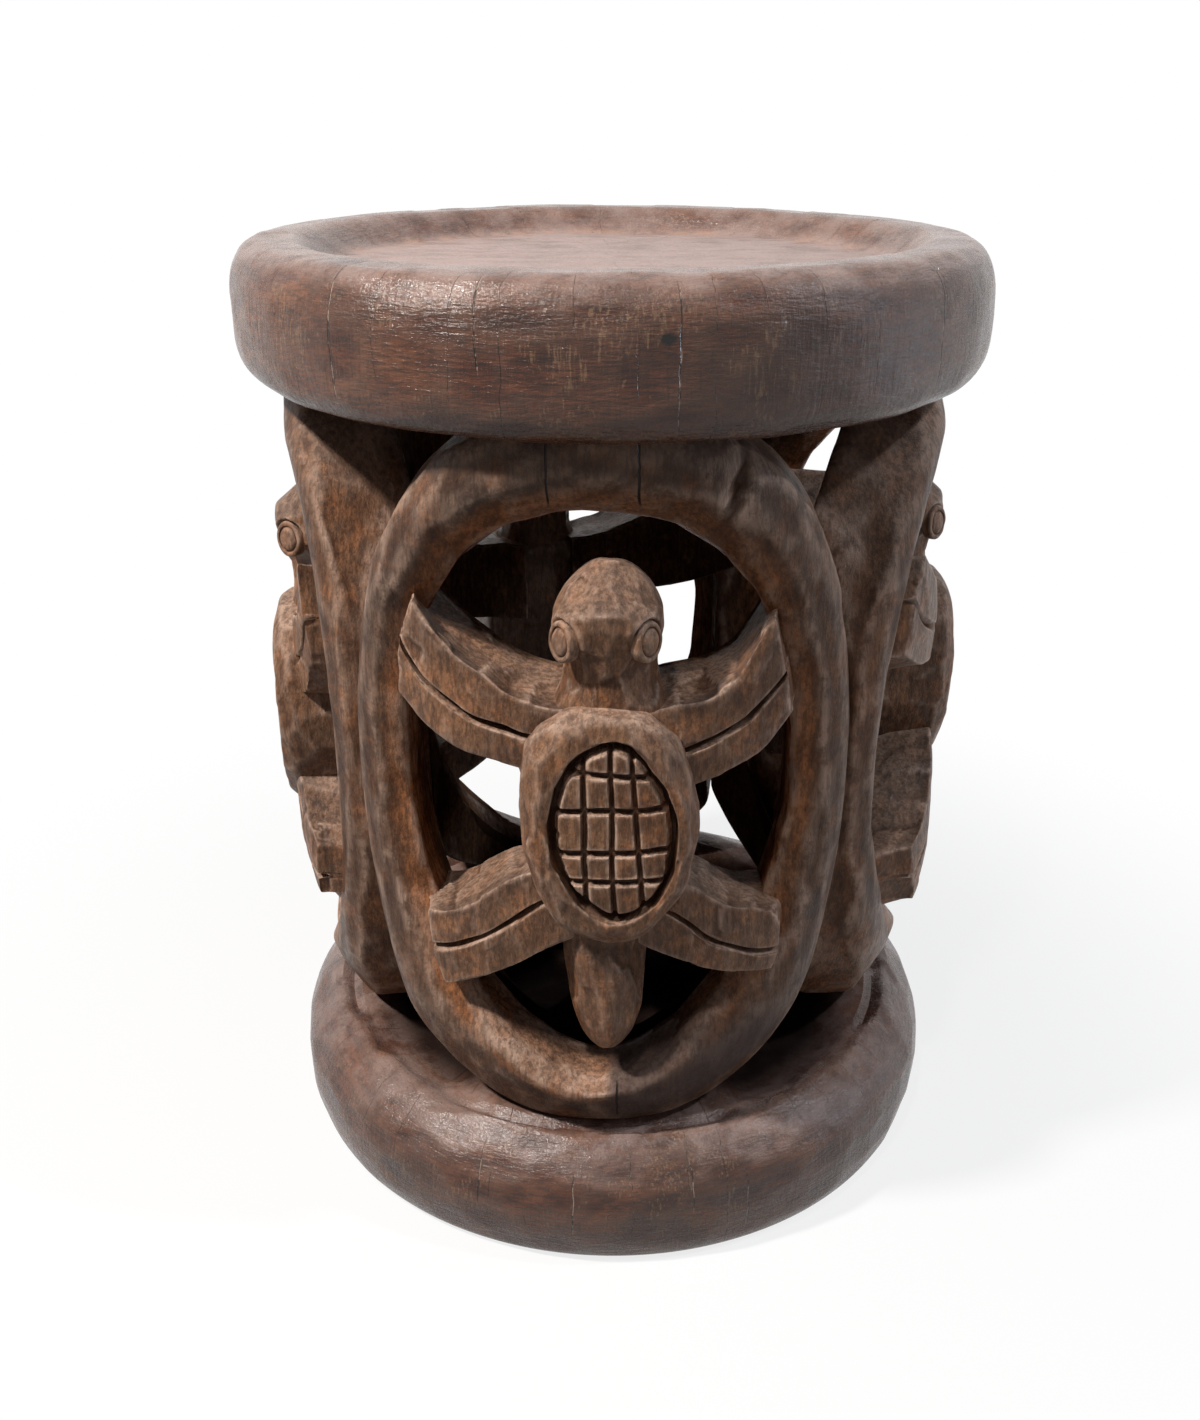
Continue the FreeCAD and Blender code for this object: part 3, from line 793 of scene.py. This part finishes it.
# Flippers: arcs out from the turtle's middle and heights of the edge, the groove and the lower edge
front_left = {
    "top": ((16, 300.5), (27, 302), (42, 306.9), (53, 313.8), (65, 321.3), (78, 333.2), (84, 340),
            (92, 352)),
    "groove": ((16, 286.5), (35, 287), (42, 289), (56, 291.5), (67, 296.5), (77, 302.5), (86, 310.5),
               (92, 319.5), (100, 331)),
    "low": ((16, 268), (39, 271), (60, 275), (72, 279), (83, 285), (92, 292), (100, 299)),
    "tips": (85.5, 94.0, 96.0), "lift": 2.5, "back": 123.0,
}
front_right = {
    "top": ((16, 299), (27, 302), (40, 303.5), (53, 310.3), (61, 321.3), (69, 334.2), (80, 344)),
    "groove": ((16, 275), (35, 281), (47, 285.5), (60, 292), (69, 300), (77, 308), (90, 323)),
    "low": ((16, 257), (41, 264), (48, 266), (60, 271), (70, 277), (78, 286), (92, 302)),
    "tips": (72.0, 79.0, 83.5), "lift": 2.5, "back": 123.0,
}
hind_left = {
    "top": ((16, 224), (37, 217), (46, 211.5), (55, 204.5), (64, 196.5), (77, 189), (85, 186), (95, 184)),
    "groove": ((16, 212), (30, 203.5), (40, 195), (51, 185.5), (60, 179), (70, 173), (84, 167.5), (95, 165)),
    "low": ((10, 189), (22, 182), (32, 175.5), (41, 168.5), (57, 158.5), (74, 150), (90, 144)),
    "tips": (87.0, 86.0, 80.0), "lift": -6.0, "back": 129.0,
}
hind_right = {
    "top": ((16, 225), (40, 210.5), (49, 203), (59, 197.5), (70, 193.5), (77, 190), (84, 185.5), (95, 178)),
    "groove": ((16, 207), (30, 198.5), (38, 191.5), (46, 183.5), (58, 176.5), (69, 171), (78, 169),
               (95, 168)),
    "low": ((8, 187), (17, 182), (34, 172.5), (45, 166.5), (61, 161), (76, 158), (95, 156)),
    "tips": (82.0, 82.5, 79.5), "lift": -6.0, "back": 129.0,
}


def flipper(name, bay, lines, side, seed):
    """Curved plank with two lobes, hewn on top and parted by a groove."""
    piece = begin(name, bpy.ops.mesh.primitive_cube_add, size=2.0)
    edit_all(piece)
    bpy.ops.mesh.subdivide(number_cuts=46)
    done_editing()
    raw = points_of(piece)
    along = 0.5 + 0.5 * raw[:, 0]
    across = raw[:, 2]
    behind = 0.5 + 0.5 * raw[:, 1]
    spread = np.sign(across) * np.abs(across) ** 1.45
    tip_top, tip_groove, tip_low = lines["tips"]
    tip = tip_groove + np.where(spread > 0, tip_top - tip_groove, tip_groove - tip_low) * spread
    start = 14.0
    arc = start + along * (tip - start)
    top = smooth_line(lines["top"], arc)
    groove = smooth_line(lines["groove"], arc)
    low = smooth_line(lines["low"], arc)
    height = np.where(spread > 0, groove + (top - groove) * spread, groove + (low - groove) * -spread)
    lift = lines["lift"] * between(behind, 0.0, 1.0) * between(spread, -0.2, 1.0)
    # the upper face is hewn in gouge cuts that run from front to back
    scallop = np.sin(math.pi * (arc + 4.0 * behind) / 16.5) ** 2
    height = height + lift - 2.5 * behind * (1.0 - between(spread, -1.0, -0.3))
    scallop = 1.5 * scallop * between(spread, 0.80, 1.0) * between(behind, 0.0, 0.10)
    height = height - scallop * (1.0 - between(behind, 0.3, 0.7))
    face = 169.0 - 0.9 * (np.where(spread > 0, 1.6, 1.0) * np.abs(spread) ** 3)
    face = face - 0.9 * between(arc, 70.0, 94.0)
    slit = 1.0 - between(np.abs(height - groove), 0.25, 1.75)
    slit_depth = 6.5 * between(arc, 20.0, 40.0)
    radius = face + (lines["back"] - face) * behind
    radius = radius - slit * slit_depth * (1.0 - between(behind, 0.0, 0.15))
    # the outer part is stretched until it meets the wall of its own bay
    fixed, drawn_span = 40.0, 56.6
    arc = np.where(arc > fixed, fixed + (arc - fixed) * (bay["wall"] - fixed) / drawn_span, arc)
    arc = arc + 5.0 * along * between(behind, 0.10, 0.50)
    if "hind" in name:
        radius = radius + 1000.0 * bay["hind_out"] * (1.0 - between(behind, 0.4, 1.0))
    x = side * 0.169 * np.sin(0.001 * arc / crest) + turtle_shift
    y = -np.sqrt(np.maximum((0.001 * radius) ** 2 - x ** 2, 0.0001))
    place_points(piece, np.column_stack([x, y, 0.001 * height]))
    face_outwards(piece)
    edge_only = 1.0 - 0.75 * (slit > 0.02) * (behind < 0.3)
    settle(piece, 1, edge_only)
    roughen(piece, ((0.0004, 0.018, seed), (0.0002, 0.007, seed + 1)), 0.0002)
    chisel(piece, 0.020, 0.0005, seed + 2, (0.9, 2.4, 1.6), 1.0 - 0.9 * (slit > 0.02) * (behind < 0.3))
    settle(piece, 1, edge_only)
    keep_mark(piece, "soot", between(spread, 0.1, 0.9) * (behind < 0.2) * 0.5)
    mark_edges(piece, 4, 0.0003)
    return piece


# Materials

class Tree:
    """Adds nodes to a tree and links them. A colour of three numbers is opaque."""

    def __init__(self, tree):
        self.tree = tree

    def feed(self, socket, value):
        if isinstance(value, bpy.types.NodeSocket):
            self.tree.links.new(value, socket)
        elif socket.type == "RGBA":
            socket.default_value = (*value, 1.0)
        else:
            socket.default_value = value

    def add(self, kind, values=(), **settings):
        node = self.tree.nodes.new("ShaderNode" + kind)
        for name, value in settings.items():
            setattr(node, name, value)
        for name, value in dict(values).items():
            self.feed(node.inputs[name], value)
        return node

    def sum(self, kind, first, second=0.0, third=0.0, clamp=False):
        values = {0: first, 1: second, 2: third}
        return self.add("Math", values, operation=kind, use_clamp=clamp).outputs[0]

    def times(self, first, second):
        return self.sum("MULTIPLY", first, second)

    def spread(self, value, low, high, out_low=0.0, out_high=1.0):
        values = {"Value": value, "From Min": low, "From Max": high, "To Min": out_low, "To Max": out_high}
        return self.add("MapRange", values, interpolation_type="SMOOTHSTEP").outputs["Result"]

    def blend(self, share, first, second):
        values = {0: share, 6: first, 7: second}
        return self.add("Mix", values, data_type="RGBA").outputs[2]

    def coat(self, tone, share, amount, colour):
        return self.blend(self.times(share, amount), tone, colour)

    def stretched(self, place, scale):
        return self.add("Mapping", {"Vector": place, "Scale": scale}).outputs["Vector"]

    def noise(self, place, scale, detail, rough, distortion=0.0):
        values = {"Vector": place, "Scale": scale, "Detail": detail, "Roughness": rough,
                  "Distortion": distortion}
        return self.add("TexNoise", values).outputs["Fac"]

    def patches(self, place, figure, *ends):
        """Noise of (scale, detail, roughness, distortion) that is spread between its ends."""
        return self.spread(self.noise(place, *figure), *ends)

    def fibres(self, place):
        return self.noise(place, 420.0, 4.0, 0.65)

    def streaks(self, place):
        return self.patches(place, (150.0, 6.0, 0.70, 0.35), 0.34, 0.66)

    def axes(self, place):
        return self.add("SeparateXYZ", {0: place}).outputs

    def mark(self, name):
        return self.add("Attribute", attribute_name=name).outputs["Fac"]

    def crack(self, away, thin, wide, height, start, end, fade_in, fade_out):
        """Line from a distance to it, between two heights."""
        line = self.spread(away, thin, wide, 1.0, 0.0)
        line = self.times(line, self.spread(height, start, start + fade_in))
        return self.times(line, self.spread(height, end - fade_out, end, 1.0, 0.0))

    def painted_shade_inside(self, place, tone, start, end):
        """Painted shade that gathers towards the hollow inside of the log, below the level of the top's
        underside.
        """
        flat = self.stretched(place, (1.0, 1.0, 0.0))
        reach = self.add("VectorMath", {0: flat}, operation="LENGTH").outputs["Value"]
        inside = self.spread(reach, end, start, 0.94, 0.0)
        below = self.spread(self.axes(place)["Z"], 0.425, 0.435, 1.0, 0.0)
        return self.coat(tone, inside, below, (0.010, 0.006, 0.005))

    def finish(self, shader, tone, roughness, height, depth):
        bump = self.add("Bump", {"Strength": 0.9, "Distance": depth, "Height": height})
        self.feed(shader.inputs["Base Color"], tone)
        self.feed(shader.inputs["Roughness"], roughness)
        self.feed(shader.inputs["Normal"], bump.outputs["Normal"])


def new_wood(name, gloss):
    material = bpy.data.materials.new(name)
    material.use_nodes = True
    t = Tree(material.node_tree)
    shader = material.node_tree.nodes["Principled BSDF"]
    shader.inputs["Specular IOR Level"].default_value = gloss
    return material, t, shader, t.add("TexCoord").outputs["Object"]


def hair_cracks(t, place):
    """Fine checks that run up the log, unevenly spaced round it."""
    axes = t.axes(place)
    turn = t.sum("ARCTAN2", axes["X"], axes["Y"])
    bent = t.sum("MULTIPLY_ADD", t.noise(place, 26.0, 3.0, 0.6), 0.055, turn)
    cells = t.add("TexVoronoi", {"W": t.times(bent, 7.0), "Scale": 1.0},
                  voronoi_dimensions="1D", feature="DISTANCE_TO_EDGE")
    thin = t.sum("SUBTRACT", 1.0, t.sum("DIVIDE", cells.outputs["Distance"], 0.006), clamp=True)
    return t.times(thin, t.patches(place, (34.0, 2.0, 0.5), 0.46, 0.60))


# Checks in the rims: degrees round the log, lower and upper end
rim_checks = (
    (-38.5, 0.425, 0.478), (-16.7, 0.440, 0.478), (8.1, 0.418, 0.476), (48.0, 0.425, 0.478),
    (-6.1, 0.020, 0.056), (12.7, 0.030, 0.060), (21.9, 0.012, 0.050), (-22.0, 0.030, 0.062),
    (-52.0, 0.020, 0.050),
)


def waxed_rim(name, gloss):
    """Top and base: dark red-brown, rubbed with wax, dusty in the tray, with a painted sheen on faces that
    look up and painted shade towards the hollow.
    """
    material, t, shader, place = new_wood(name, gloss)
    round_about = t.stretched(place, (0.30, 0.30, 1.6))
    upright = t.stretched(place, (1.0, 1.0, 0.10))
    fibres = t.fibres(round_about)
    tone = t.blend(t.streaks(round_about), (0.044, 0.012, 0.006), (0.120, 0.038, 0.017))
    patch = t.patches(t.stretched(place, (0.5, 0.5, 1.0)), (30.0, 7.0, 0.72, 0.6), 0.48, 0.62)
    tone = t.coat(tone, patch, 0.45, (0.200, 0.080, 0.036))
    dark = t.patches(t.stretched(place, (0.45, 0.45, 1.0)), (17.0, 6.0, 0.68, 0.4), 0.48, 0.64)
    tone = t.coat(tone, dark, 0.65, (0.030, 0.013, 0.009))
    tone = t.coat(tone, t.spread(fibres, 0.46, 0.60), 0.60, (0.022, 0.010, 0.007))
    ticks = t.times(t.fibres(t.stretched(place, (2.2, 2.2, 0.30))),
                    t.patches(place, (42.0, 4.0, 0.65), 0.44, 0.58))
    tone = t.blend(t.spread(ticks, 0.50, 0.62, 0.0, 0.42), tone, (0.300, 0.180, 0.100))
    tone = t.coat(tone, t.mark("ridge"), 0.25, (0.250, 0.140, 0.095))
    # painted sheen: faces that look up are lightened to a pale pinkish grey in patches
    painted_sheen = t.patches(place, (38.0, 6.0, 0.7), 0.38, 0.62, 0.15, 0.70)
    tone = t.coat(tone, t.mark("upward_light_and_dust"), painted_sheen, (0.290, 0.200, 0.170))
    ripple = t.patches(t.stretched(place, (0.35, 1.0, 1.0)), (95.0, 6.0, 0.72, 0.8), 0.36, 0.60, 0.30, 1.0)
    dust = t.times(t.mark("dust"), ripple)
    tone = t.blend(dust, tone, (0.350, 0.258, 0.232))
    edge = t.patches(place, (40.0, 6.0, 0.7), 0.47, 0.60, 0.0, 0.8)
    tone = t.coat(tone, t.mark("tray_edge"), edge, (0.380, 0.225, 0.160))
    crack = hair_cracks(t, place)
    axes = t.axes(place)
    wander = t.sum("MULTIPLY_ADD", t.noise(place, 24.0, 3.0, 0.6), 0.006, axes["X"])
    turn = t.sum("ARCTAN2", wander, t.times(axes["Y"], -1.0))
    for degrees, start, end in rim_checks:
        away = t.sum("ABSOLUTE", t.sum("SUBTRACT", turn, math.radians(degrees) + 0.0167))
        crack = t.sum("MAXIMUM", crack, t.crack(away, 0.0008, 0.0026, axes["Z"], start, end, 0.006, 0.006))
    filler = t.patches(place, (110.0, 4.0, 0.7), 0.48, 0.56)
    filled = t.blend(filler, (0.016, 0.008, 0.006), (0.430, 0.310, 0.240))
    tone = t.coat(tone, crack, 0.70, filled)
    # painted shade: a small pit in the top is drawn as a near-black spot
    off_pit = t.add("VectorMath", {0: t.stretched(place, (0.6, 1.0, 1.0)), 1: (0.0121, -0.179, 0.4554)},
                    operation="DISTANCE").outputs["Value"]
    ragged = t.sum("MULTIPLY_ADD", t.noise(place, 300.0, 3.0, 0.6), 0.004, off_pit)
    tone = t.blend(t.spread(ragged, 0.0034, 0.0050, 1.0, 0.0), tone, (0.006, 0.004, 0.003))
    tone = t.coat(tone, t.patches(upright, (900.0, 2.0, 0.5), 0.60, 0.74), 0.45, (0.025, 0.012, 0.008))
    # painted shade towards the hollow inside and under the top
    tone = t.painted_shade_inside(place, tone, 0.150, 0.125)
    grit = t.patches(place, (700.0, 3.0, 0.6), 0.35, 0.65, 0.15, 0.30)
    roughness = t.sum("MULTIPLY_ADD", dust, 0.35, grit)
    # scraper lines round the rim, soft dents, upright and lying fibres, cracks
    height = t.times(t.noise(t.stretched(place, (0.10, 0.10, 1.0)), 520.0, 4.0, 0.6), 0.5)
    height = t.sum("MULTIPLY_ADD", t.noise(place, 120.0, 4.0, 0.6), 0.8, height)
    height = t.sum("MULTIPLY_ADD", fibres, 1.2, height)
    height = t.sum("MULTIPLY_ADD", t.fibres(upright), 0.7, height)
    height = t.sum("MULTIPLY_ADD", crack, -1.2, height)
    t.finish(shader, tone, roughness, height, 0.0006)
    return material


def cage_wood(name, gloss, look, fissures=()):
    """Dry chiselled wood of the cage: brown with orange rubs, grey weathering and soot, with painted light
    on faces that look up, painted glints on ridges, painted shade inside and a painted shadow under the
    turtle.
    """
    low, high, orange, grey, orange_share, grey_share = look
    material, t, shader, place = new_wood(name, gloss)
    grain = t.stretched(place, (1.0, 1.0, 0.16))
    fibres = t.fibres(grain)
    broad = t.patches(t.stretched(place, (1.0, 1.0, 0.50)), (36.0, 8.0, 0.74, 0.3), 0.36, 0.64)
    tone = t.coat(t.blend(broad, low, high), t.streaks(grain), 0.30, low)
    rub = t.times(t.patches(place, (44.0, 8.0, 0.76, 0.4), 0.48, 0.60), orange_share)
    bevel = t.times(t.mark("bevel"), t.patches(place, (40.0, 5.0, 0.66), 0.34, 0.58, 0.30, 0.80))
    tone = t.blend(t.sum("ADD", rub, bevel, clamp=True), tone, orange)
    char = t.patches(t.stretched(place, (1.0, 1.0, 0.4)), (58.0, 8.0, 0.78, 0.2), 0.49, 0.58)
    specks = t.patches(t.stretched(place, (1.0, 1.0, 0.5)), (430.0, 5.0, 0.76), 0.44, 0.58)
    sooty = t.times(t.mark("soot"), t.patches(place, (52.0, 5.0, 0.68), 0.34, 0.58, 0.30, 1.0))
    # ridges lighter: wear on the edges and painted glints along them
    worn = t.times(t.mark("ridge"), t.patches(place, (80.0, 5.0, 0.70), 0.38, 0.56, 0.25, 1.0))
    for share, amount, colour in (
            (char, 0.30, (0.036, 0.022, 0.017)),
            (t.patches(place, (90.0, 8.0, 0.76), 0.46, 0.64), grey_share, grey),
            # faces that look up paler: pale dust and painted light from above
            (t.mark("upward_light_and_dust"), 0.42, (0.460, 0.300, 0.215)),
            (sooty, 0.85, (0.030, 0.021, 0.018)),
            (specks, 0.50, (0.040, 0.020, 0.012)),
            (worn, 0.80, (0.540, 0.370, 0.280)),
            (t.mark("hollow"), 0.75, (0.050, 0.022, 0.013)),
            # painted shadow of the turtle on the front hoop's low limb
            (t.mark("painted_turtle_shadow"), 0.80, (0.040, 0.028, 0.026)),
            (t.spread(fibres, 0.46, 0.60), 0.42, (0.030, 0.014, 0.009))):
        tone = t.coat(tone, share, amount, colour)
    # painted shade towards the hollow inside of the log
    tone = t.painted_shade_inside(place, tone, 0.134, 0.108)
    rough = t.noise(t.stretched(place, (1.0, 1.0, 0.7)), 260.0, 7.0, 0.74)
    height = t.sum("MULTIPLY_ADD", fibres, 0.6, t.times(rough, 1.1))
    axes = t.axes(place)
    for across, lean, start, end, width in fissures:
        wander = t.sum("MULTIPLY_ADD", t.noise(place, 90.0, 2.0, 0.5), 0.0022, axes["X"])
        wander = t.sum("MULTIPLY_ADD", axes["Z"], lean, wander)
        away = t.sum("ABSOLUTE", t.sum("SUBTRACT", wander, across + lean * 0.5 * (start + end) + 0.0011))
        line = t.crack(away, width * 0.35, width, axes["Z"], start, end, 0.004, 0.002)
        line = t.times(line, t.spread(axes["Y"], -0.12, -0.10, 1.0, 0.0))
        tone = t.blend(line, tone, (0.008, 0.005, 0.004))
        height = t.sum("MULTIPLY_ADD", line, -1.5, height)
    t.finish(shader, tone, t.spread(rough, 0.3, 0.7, 0.30, 0.54), height, 0.0009)
    return material


# Colours (dark, light, orange, grey), then the shares of orange and grey
hoop_look = ((0.108, 0.045, 0.022), (0.235, 0.112, 0.058), (0.420, 0.165, 0.066), (0.300, 0.210, 0.155),
             0.45, 0.10)
turtle_look = ((0.135, 0.060, 0.031), (0.290, 0.150, 0.082), (0.480, 0.195, 0.080), (0.360, 0.255, 0.185),
               0.50, 0.12)
# Splits in the front hoop: place across, lean, lower and upper end, width
hoop_splits = (
    (-0.0265, 0.0, 0.384, 0.420, 0.0006),
    (0.0105, 0.02, 0.384, 0.420, 0.0007),
    (0.0020, 0.0, 0.074, 0.098, 0.0006),
)
# Each wood has a second, matt form for the faces that look into the hollow of the log
rim_wood = (waxed_rim("waxed rim wood", 0.36), waxed_rim("rim wood inside", 0.0))
hoop_wood = (cage_wood("hoop wood", 0.14, hoop_look), cage_wood("hoop wood inside", 0.0, hoop_look))
split_hoop_wood = (cage_wood("hoop wood with splits", 0.14, hoop_look, hoop_splits), hoop_wood[1])
turtle_wood = (cage_wood("turtle wood", 0.16, turtle_look),
               cage_wood("turtle wood inside", 0.0, turtle_look))


# Making and placing the pieces

# Faces nearer the axis than this look into the hollow between its floor and its roof
hollow_reach, hollow_reach_of_base, wall_of_hoops = 0.128, 0.144, 0.152
hollow_floor, hollow_roof = 0.040, 0.425


def finish_piece(piece, node, woods):
    """Gives a piece its woods, smooth shading and what the frame needs to know of it."""
    piece.data.materials.clear()
    for wood in woods:
        piece.data.materials.append(wood)
    middles = read_rows(piece.data.polygons, "center", 3)
    reach = reach_of(middles)
    inside = reach < (hollow_reach_of_base if node == "base" else hollow_reach)
    inside = inside & (middles[:, 2] > hollow_floor) & (middles[:, 2] < hollow_roof)
    if node.startswith("hoop"):
        looks = read_rows(piece.data.polygons, "normal", 3)
        inwards = (looks[:, 0] * middles[:, 0] + looks[:, 1] * middles[:, 1]) / reach
        inside = inside | ((inwards < -0.05) & (reach < wall_of_hoops))
    piece.data.polygons.foreach_set("material_index", inside.astype(np.int32))
    # faces that look up, used for painted light from above and pale dust
    keep_mark(piece, "upward_light_and_dust", between(facing_of(piece)[:, 2], 0.25, 0.90))
    take(piece)
    bpy.ops.object.shade_smooth_by_angle(angle=smooth_angle)
    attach(piece, "root")
    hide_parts(node)


def carry_round(piece, middle, set_in=0.0):
    """Turns a piece that was carved at the front round the axis to its own bay."""
    c, s = math.cos(math.radians(middle)), math.sin(math.radians(middle))
    x, y, z = points_of(piece).T
    y = y + set_in
    place_points(piece, np.column_stack([x * c - y * s, x * s + y * c, z]))


def fit_to_opening(piece, bay, raised=0.0):
    """Moves a piece of the turtle up or down with the opening of its bay."""
    points = points_of(piece)
    high = max(bay["high"], drawn_high) if bay["low"] == drawn_low else bay["high"]
    grown = (high - bay["low"]) / (drawn_high - drawn_low)
    points[:, 2] = bay["low"] + (points[:, 2] - drawn_low) * grown + raised
    place_points(piece, points)


finish_piece(table_top(), "table_top", rim_wood)
finish_piece(base(), "base", rim_wood)

for number, (side_name, bay) in enumerate(bays.items()):
    ring = hoop("carved_hoop_" + side_name, bay, 31 + 16 * number)
    carry_round(ring, bay["middle"])
    finish_piece(ring, "hoop_" + side_name, split_hoop_wood if number == 0 else hoop_wood)

turtle_parts = {
    "shell": turtle_shell,
    "shell_plate": shell_plate,
    "head": turtle_head,
    "tail": turtle_tail,
    "left_eye": lambda name, seed: turtle_eye(name, eye_spots[0], seed),
    "right_eye": lambda name, seed: turtle_eye(name, eye_spots[1], seed),
}
for count, (part, make) in enumerate(turtle_parts.items()):
    pattern = make("pattern", 100 + 7 * count)
    for side_name, bay in bays.items():
        carved = hand_twin(pattern, "carved_" + side_name + "_" + part)
        fit_to_opening(carved, bay, bay["raised"] if part == "head" or "eye" in part else 0.0)
        carry_round(carved, bay["figure"], bay["set_in"])
        finish_piece(carved, "turtle_" + side_name + "_" + part, turtle_wood)
    bpy.data.objects.remove(pattern)

flippers = {
    "left_front_flipper": (front_left, -1.0),
    "right_front_flipper": (front_right, 1.0),
    "left_hind_flipper": (hind_left, -1.0),
    "right_hind_flipper": (hind_right, 1.0),
}
for count, (part, (lines, side)) in enumerate(flippers.items()):
    for number, (side_name, bay) in enumerate(bays.items()):
        carved = flipper("carved_" + side_name + "_" + part, bay, lines, side, 150 + 7 * count + 29 * number)
        fit_to_opening(carved, bay)
        carry_round(carved, bay["figure"])
        finish_piece(carved, "turtle_" + side_name + "_" + part, turtle_wood)


# Floor, light and camera

def seen_rays(t):
    """1 where a ray comes from the camera or by way of a mirror or glass."""
    rays = t.add("LightPath").outputs
    return t.sum("MAXIMUM", rays["Is Camera Ray"],
                 t.sum("MAXIMUM", rays["Is Glossy Ray"], rays["Is Transmission Ray"]))


def studio():
    floor = begin("floor", bpy.ops.mesh.primitive_plane_add, size=14.0, location=(0.0, 0.0, -0.0002))
    material, t, shader, place = new_wood("pale floor", 0.0)
    shader.inputs["Roughness"].default_value = 0.9
    seen = seen_rays(t)
    t.feed(shader.inputs["Base Color"], t.blend(seen, (0.24, 0.23, 0.22), (0.80, 0.79, 0.78)))
    glow = t.add("Emission", {"Color": (1.0, 1.0, 1.0), "Strength": 1.0})
    away = t.add("VectorMath", {0: place}, operation="LENGTH").outputs["Value"]
    share = t.times(seen, t.spread(away, 0.20, 0.60, 0.80, 1.0))
    mixed = t.add("MixShader", {0: share, 1: shader.outputs[0], 2: glow.outputs[0]})
    t.feed(material.node_tree.nodes["Material Output"].inputs["Surface"], mixed.outputs[0])
    floor.data.materials.append(material)

    world = bpy.data.worlds.new("studio")
    bpy.context.scene.world = world
    world.use_nodes = True
    t = Tree(world.node_tree)
    sky = world.node_tree.nodes["Background"].inputs
    t.feed(sky["Color"], t.blend(seen_rays(t), (0.055, 0.055, 0.060), (1.0, 1.0, 1.0)))
    sky["Strength"].default_value = 1.0

    # name, place, watts, size, tint
    lamps = (
        ("left softbox", (-0.92, -0.52, 1.50), 33.0, (0.13, 0.11), (1.0, 0.97, 0.93)),
        ("front softbox", (-0.25, -0.80, 1.70), 6.0, (0.10, 0.08), (1.0, 0.98, 0.96)),
        ("right window", (1.16, -0.38, 1.47), 9.0, (0.07, 0.09), (0.76, 0.87, 1.0)),
        ("low window", (1.25, -0.14, 0.28), 2.2, (0.10, 0.20), (0.70, 0.82, 1.0)),
    )
    for name, place, power, size, tint in lamps:
        bpy.ops.object.light_add(type="AREA", location=place)
        lamp = bpy.context.active_object
        lamp.name = name
        lamp.data.shape = "RECTANGLE"
        lamp.data.size, lamp.data.size_y = size
        lamp.data.energy = power
        lamp.data.color = tint
        aim = Vector((0.0, 0.0, 0.30)) - Vector(place)
        lamp.rotation_euler = aim.to_track_quat("-Z", "Y").to_euler()

    # camera fitted to the photograph, which is 1420 pixels high
    bpy.ops.object.camera_add(location=(0.0, -0.699, 0.540), rotation=(0.5 * math.pi - 0.428, 0.0, 0.0))
    camera = bpy.context.active_object
    camera.data.sensor_width = 36.0
    camera.data.lens = 35.01
    camera.data.shift_x = -13.0 / 1420.0
    camera.data.shift_y = 7.3 / 1420.0
    camera.data.clip_start = 0.05
    camera.data.clip_end = 50.0
    bpy.context.scene.camera = camera
    bpy.context.scene.view_settings.view_transform = "Standard"


studio()
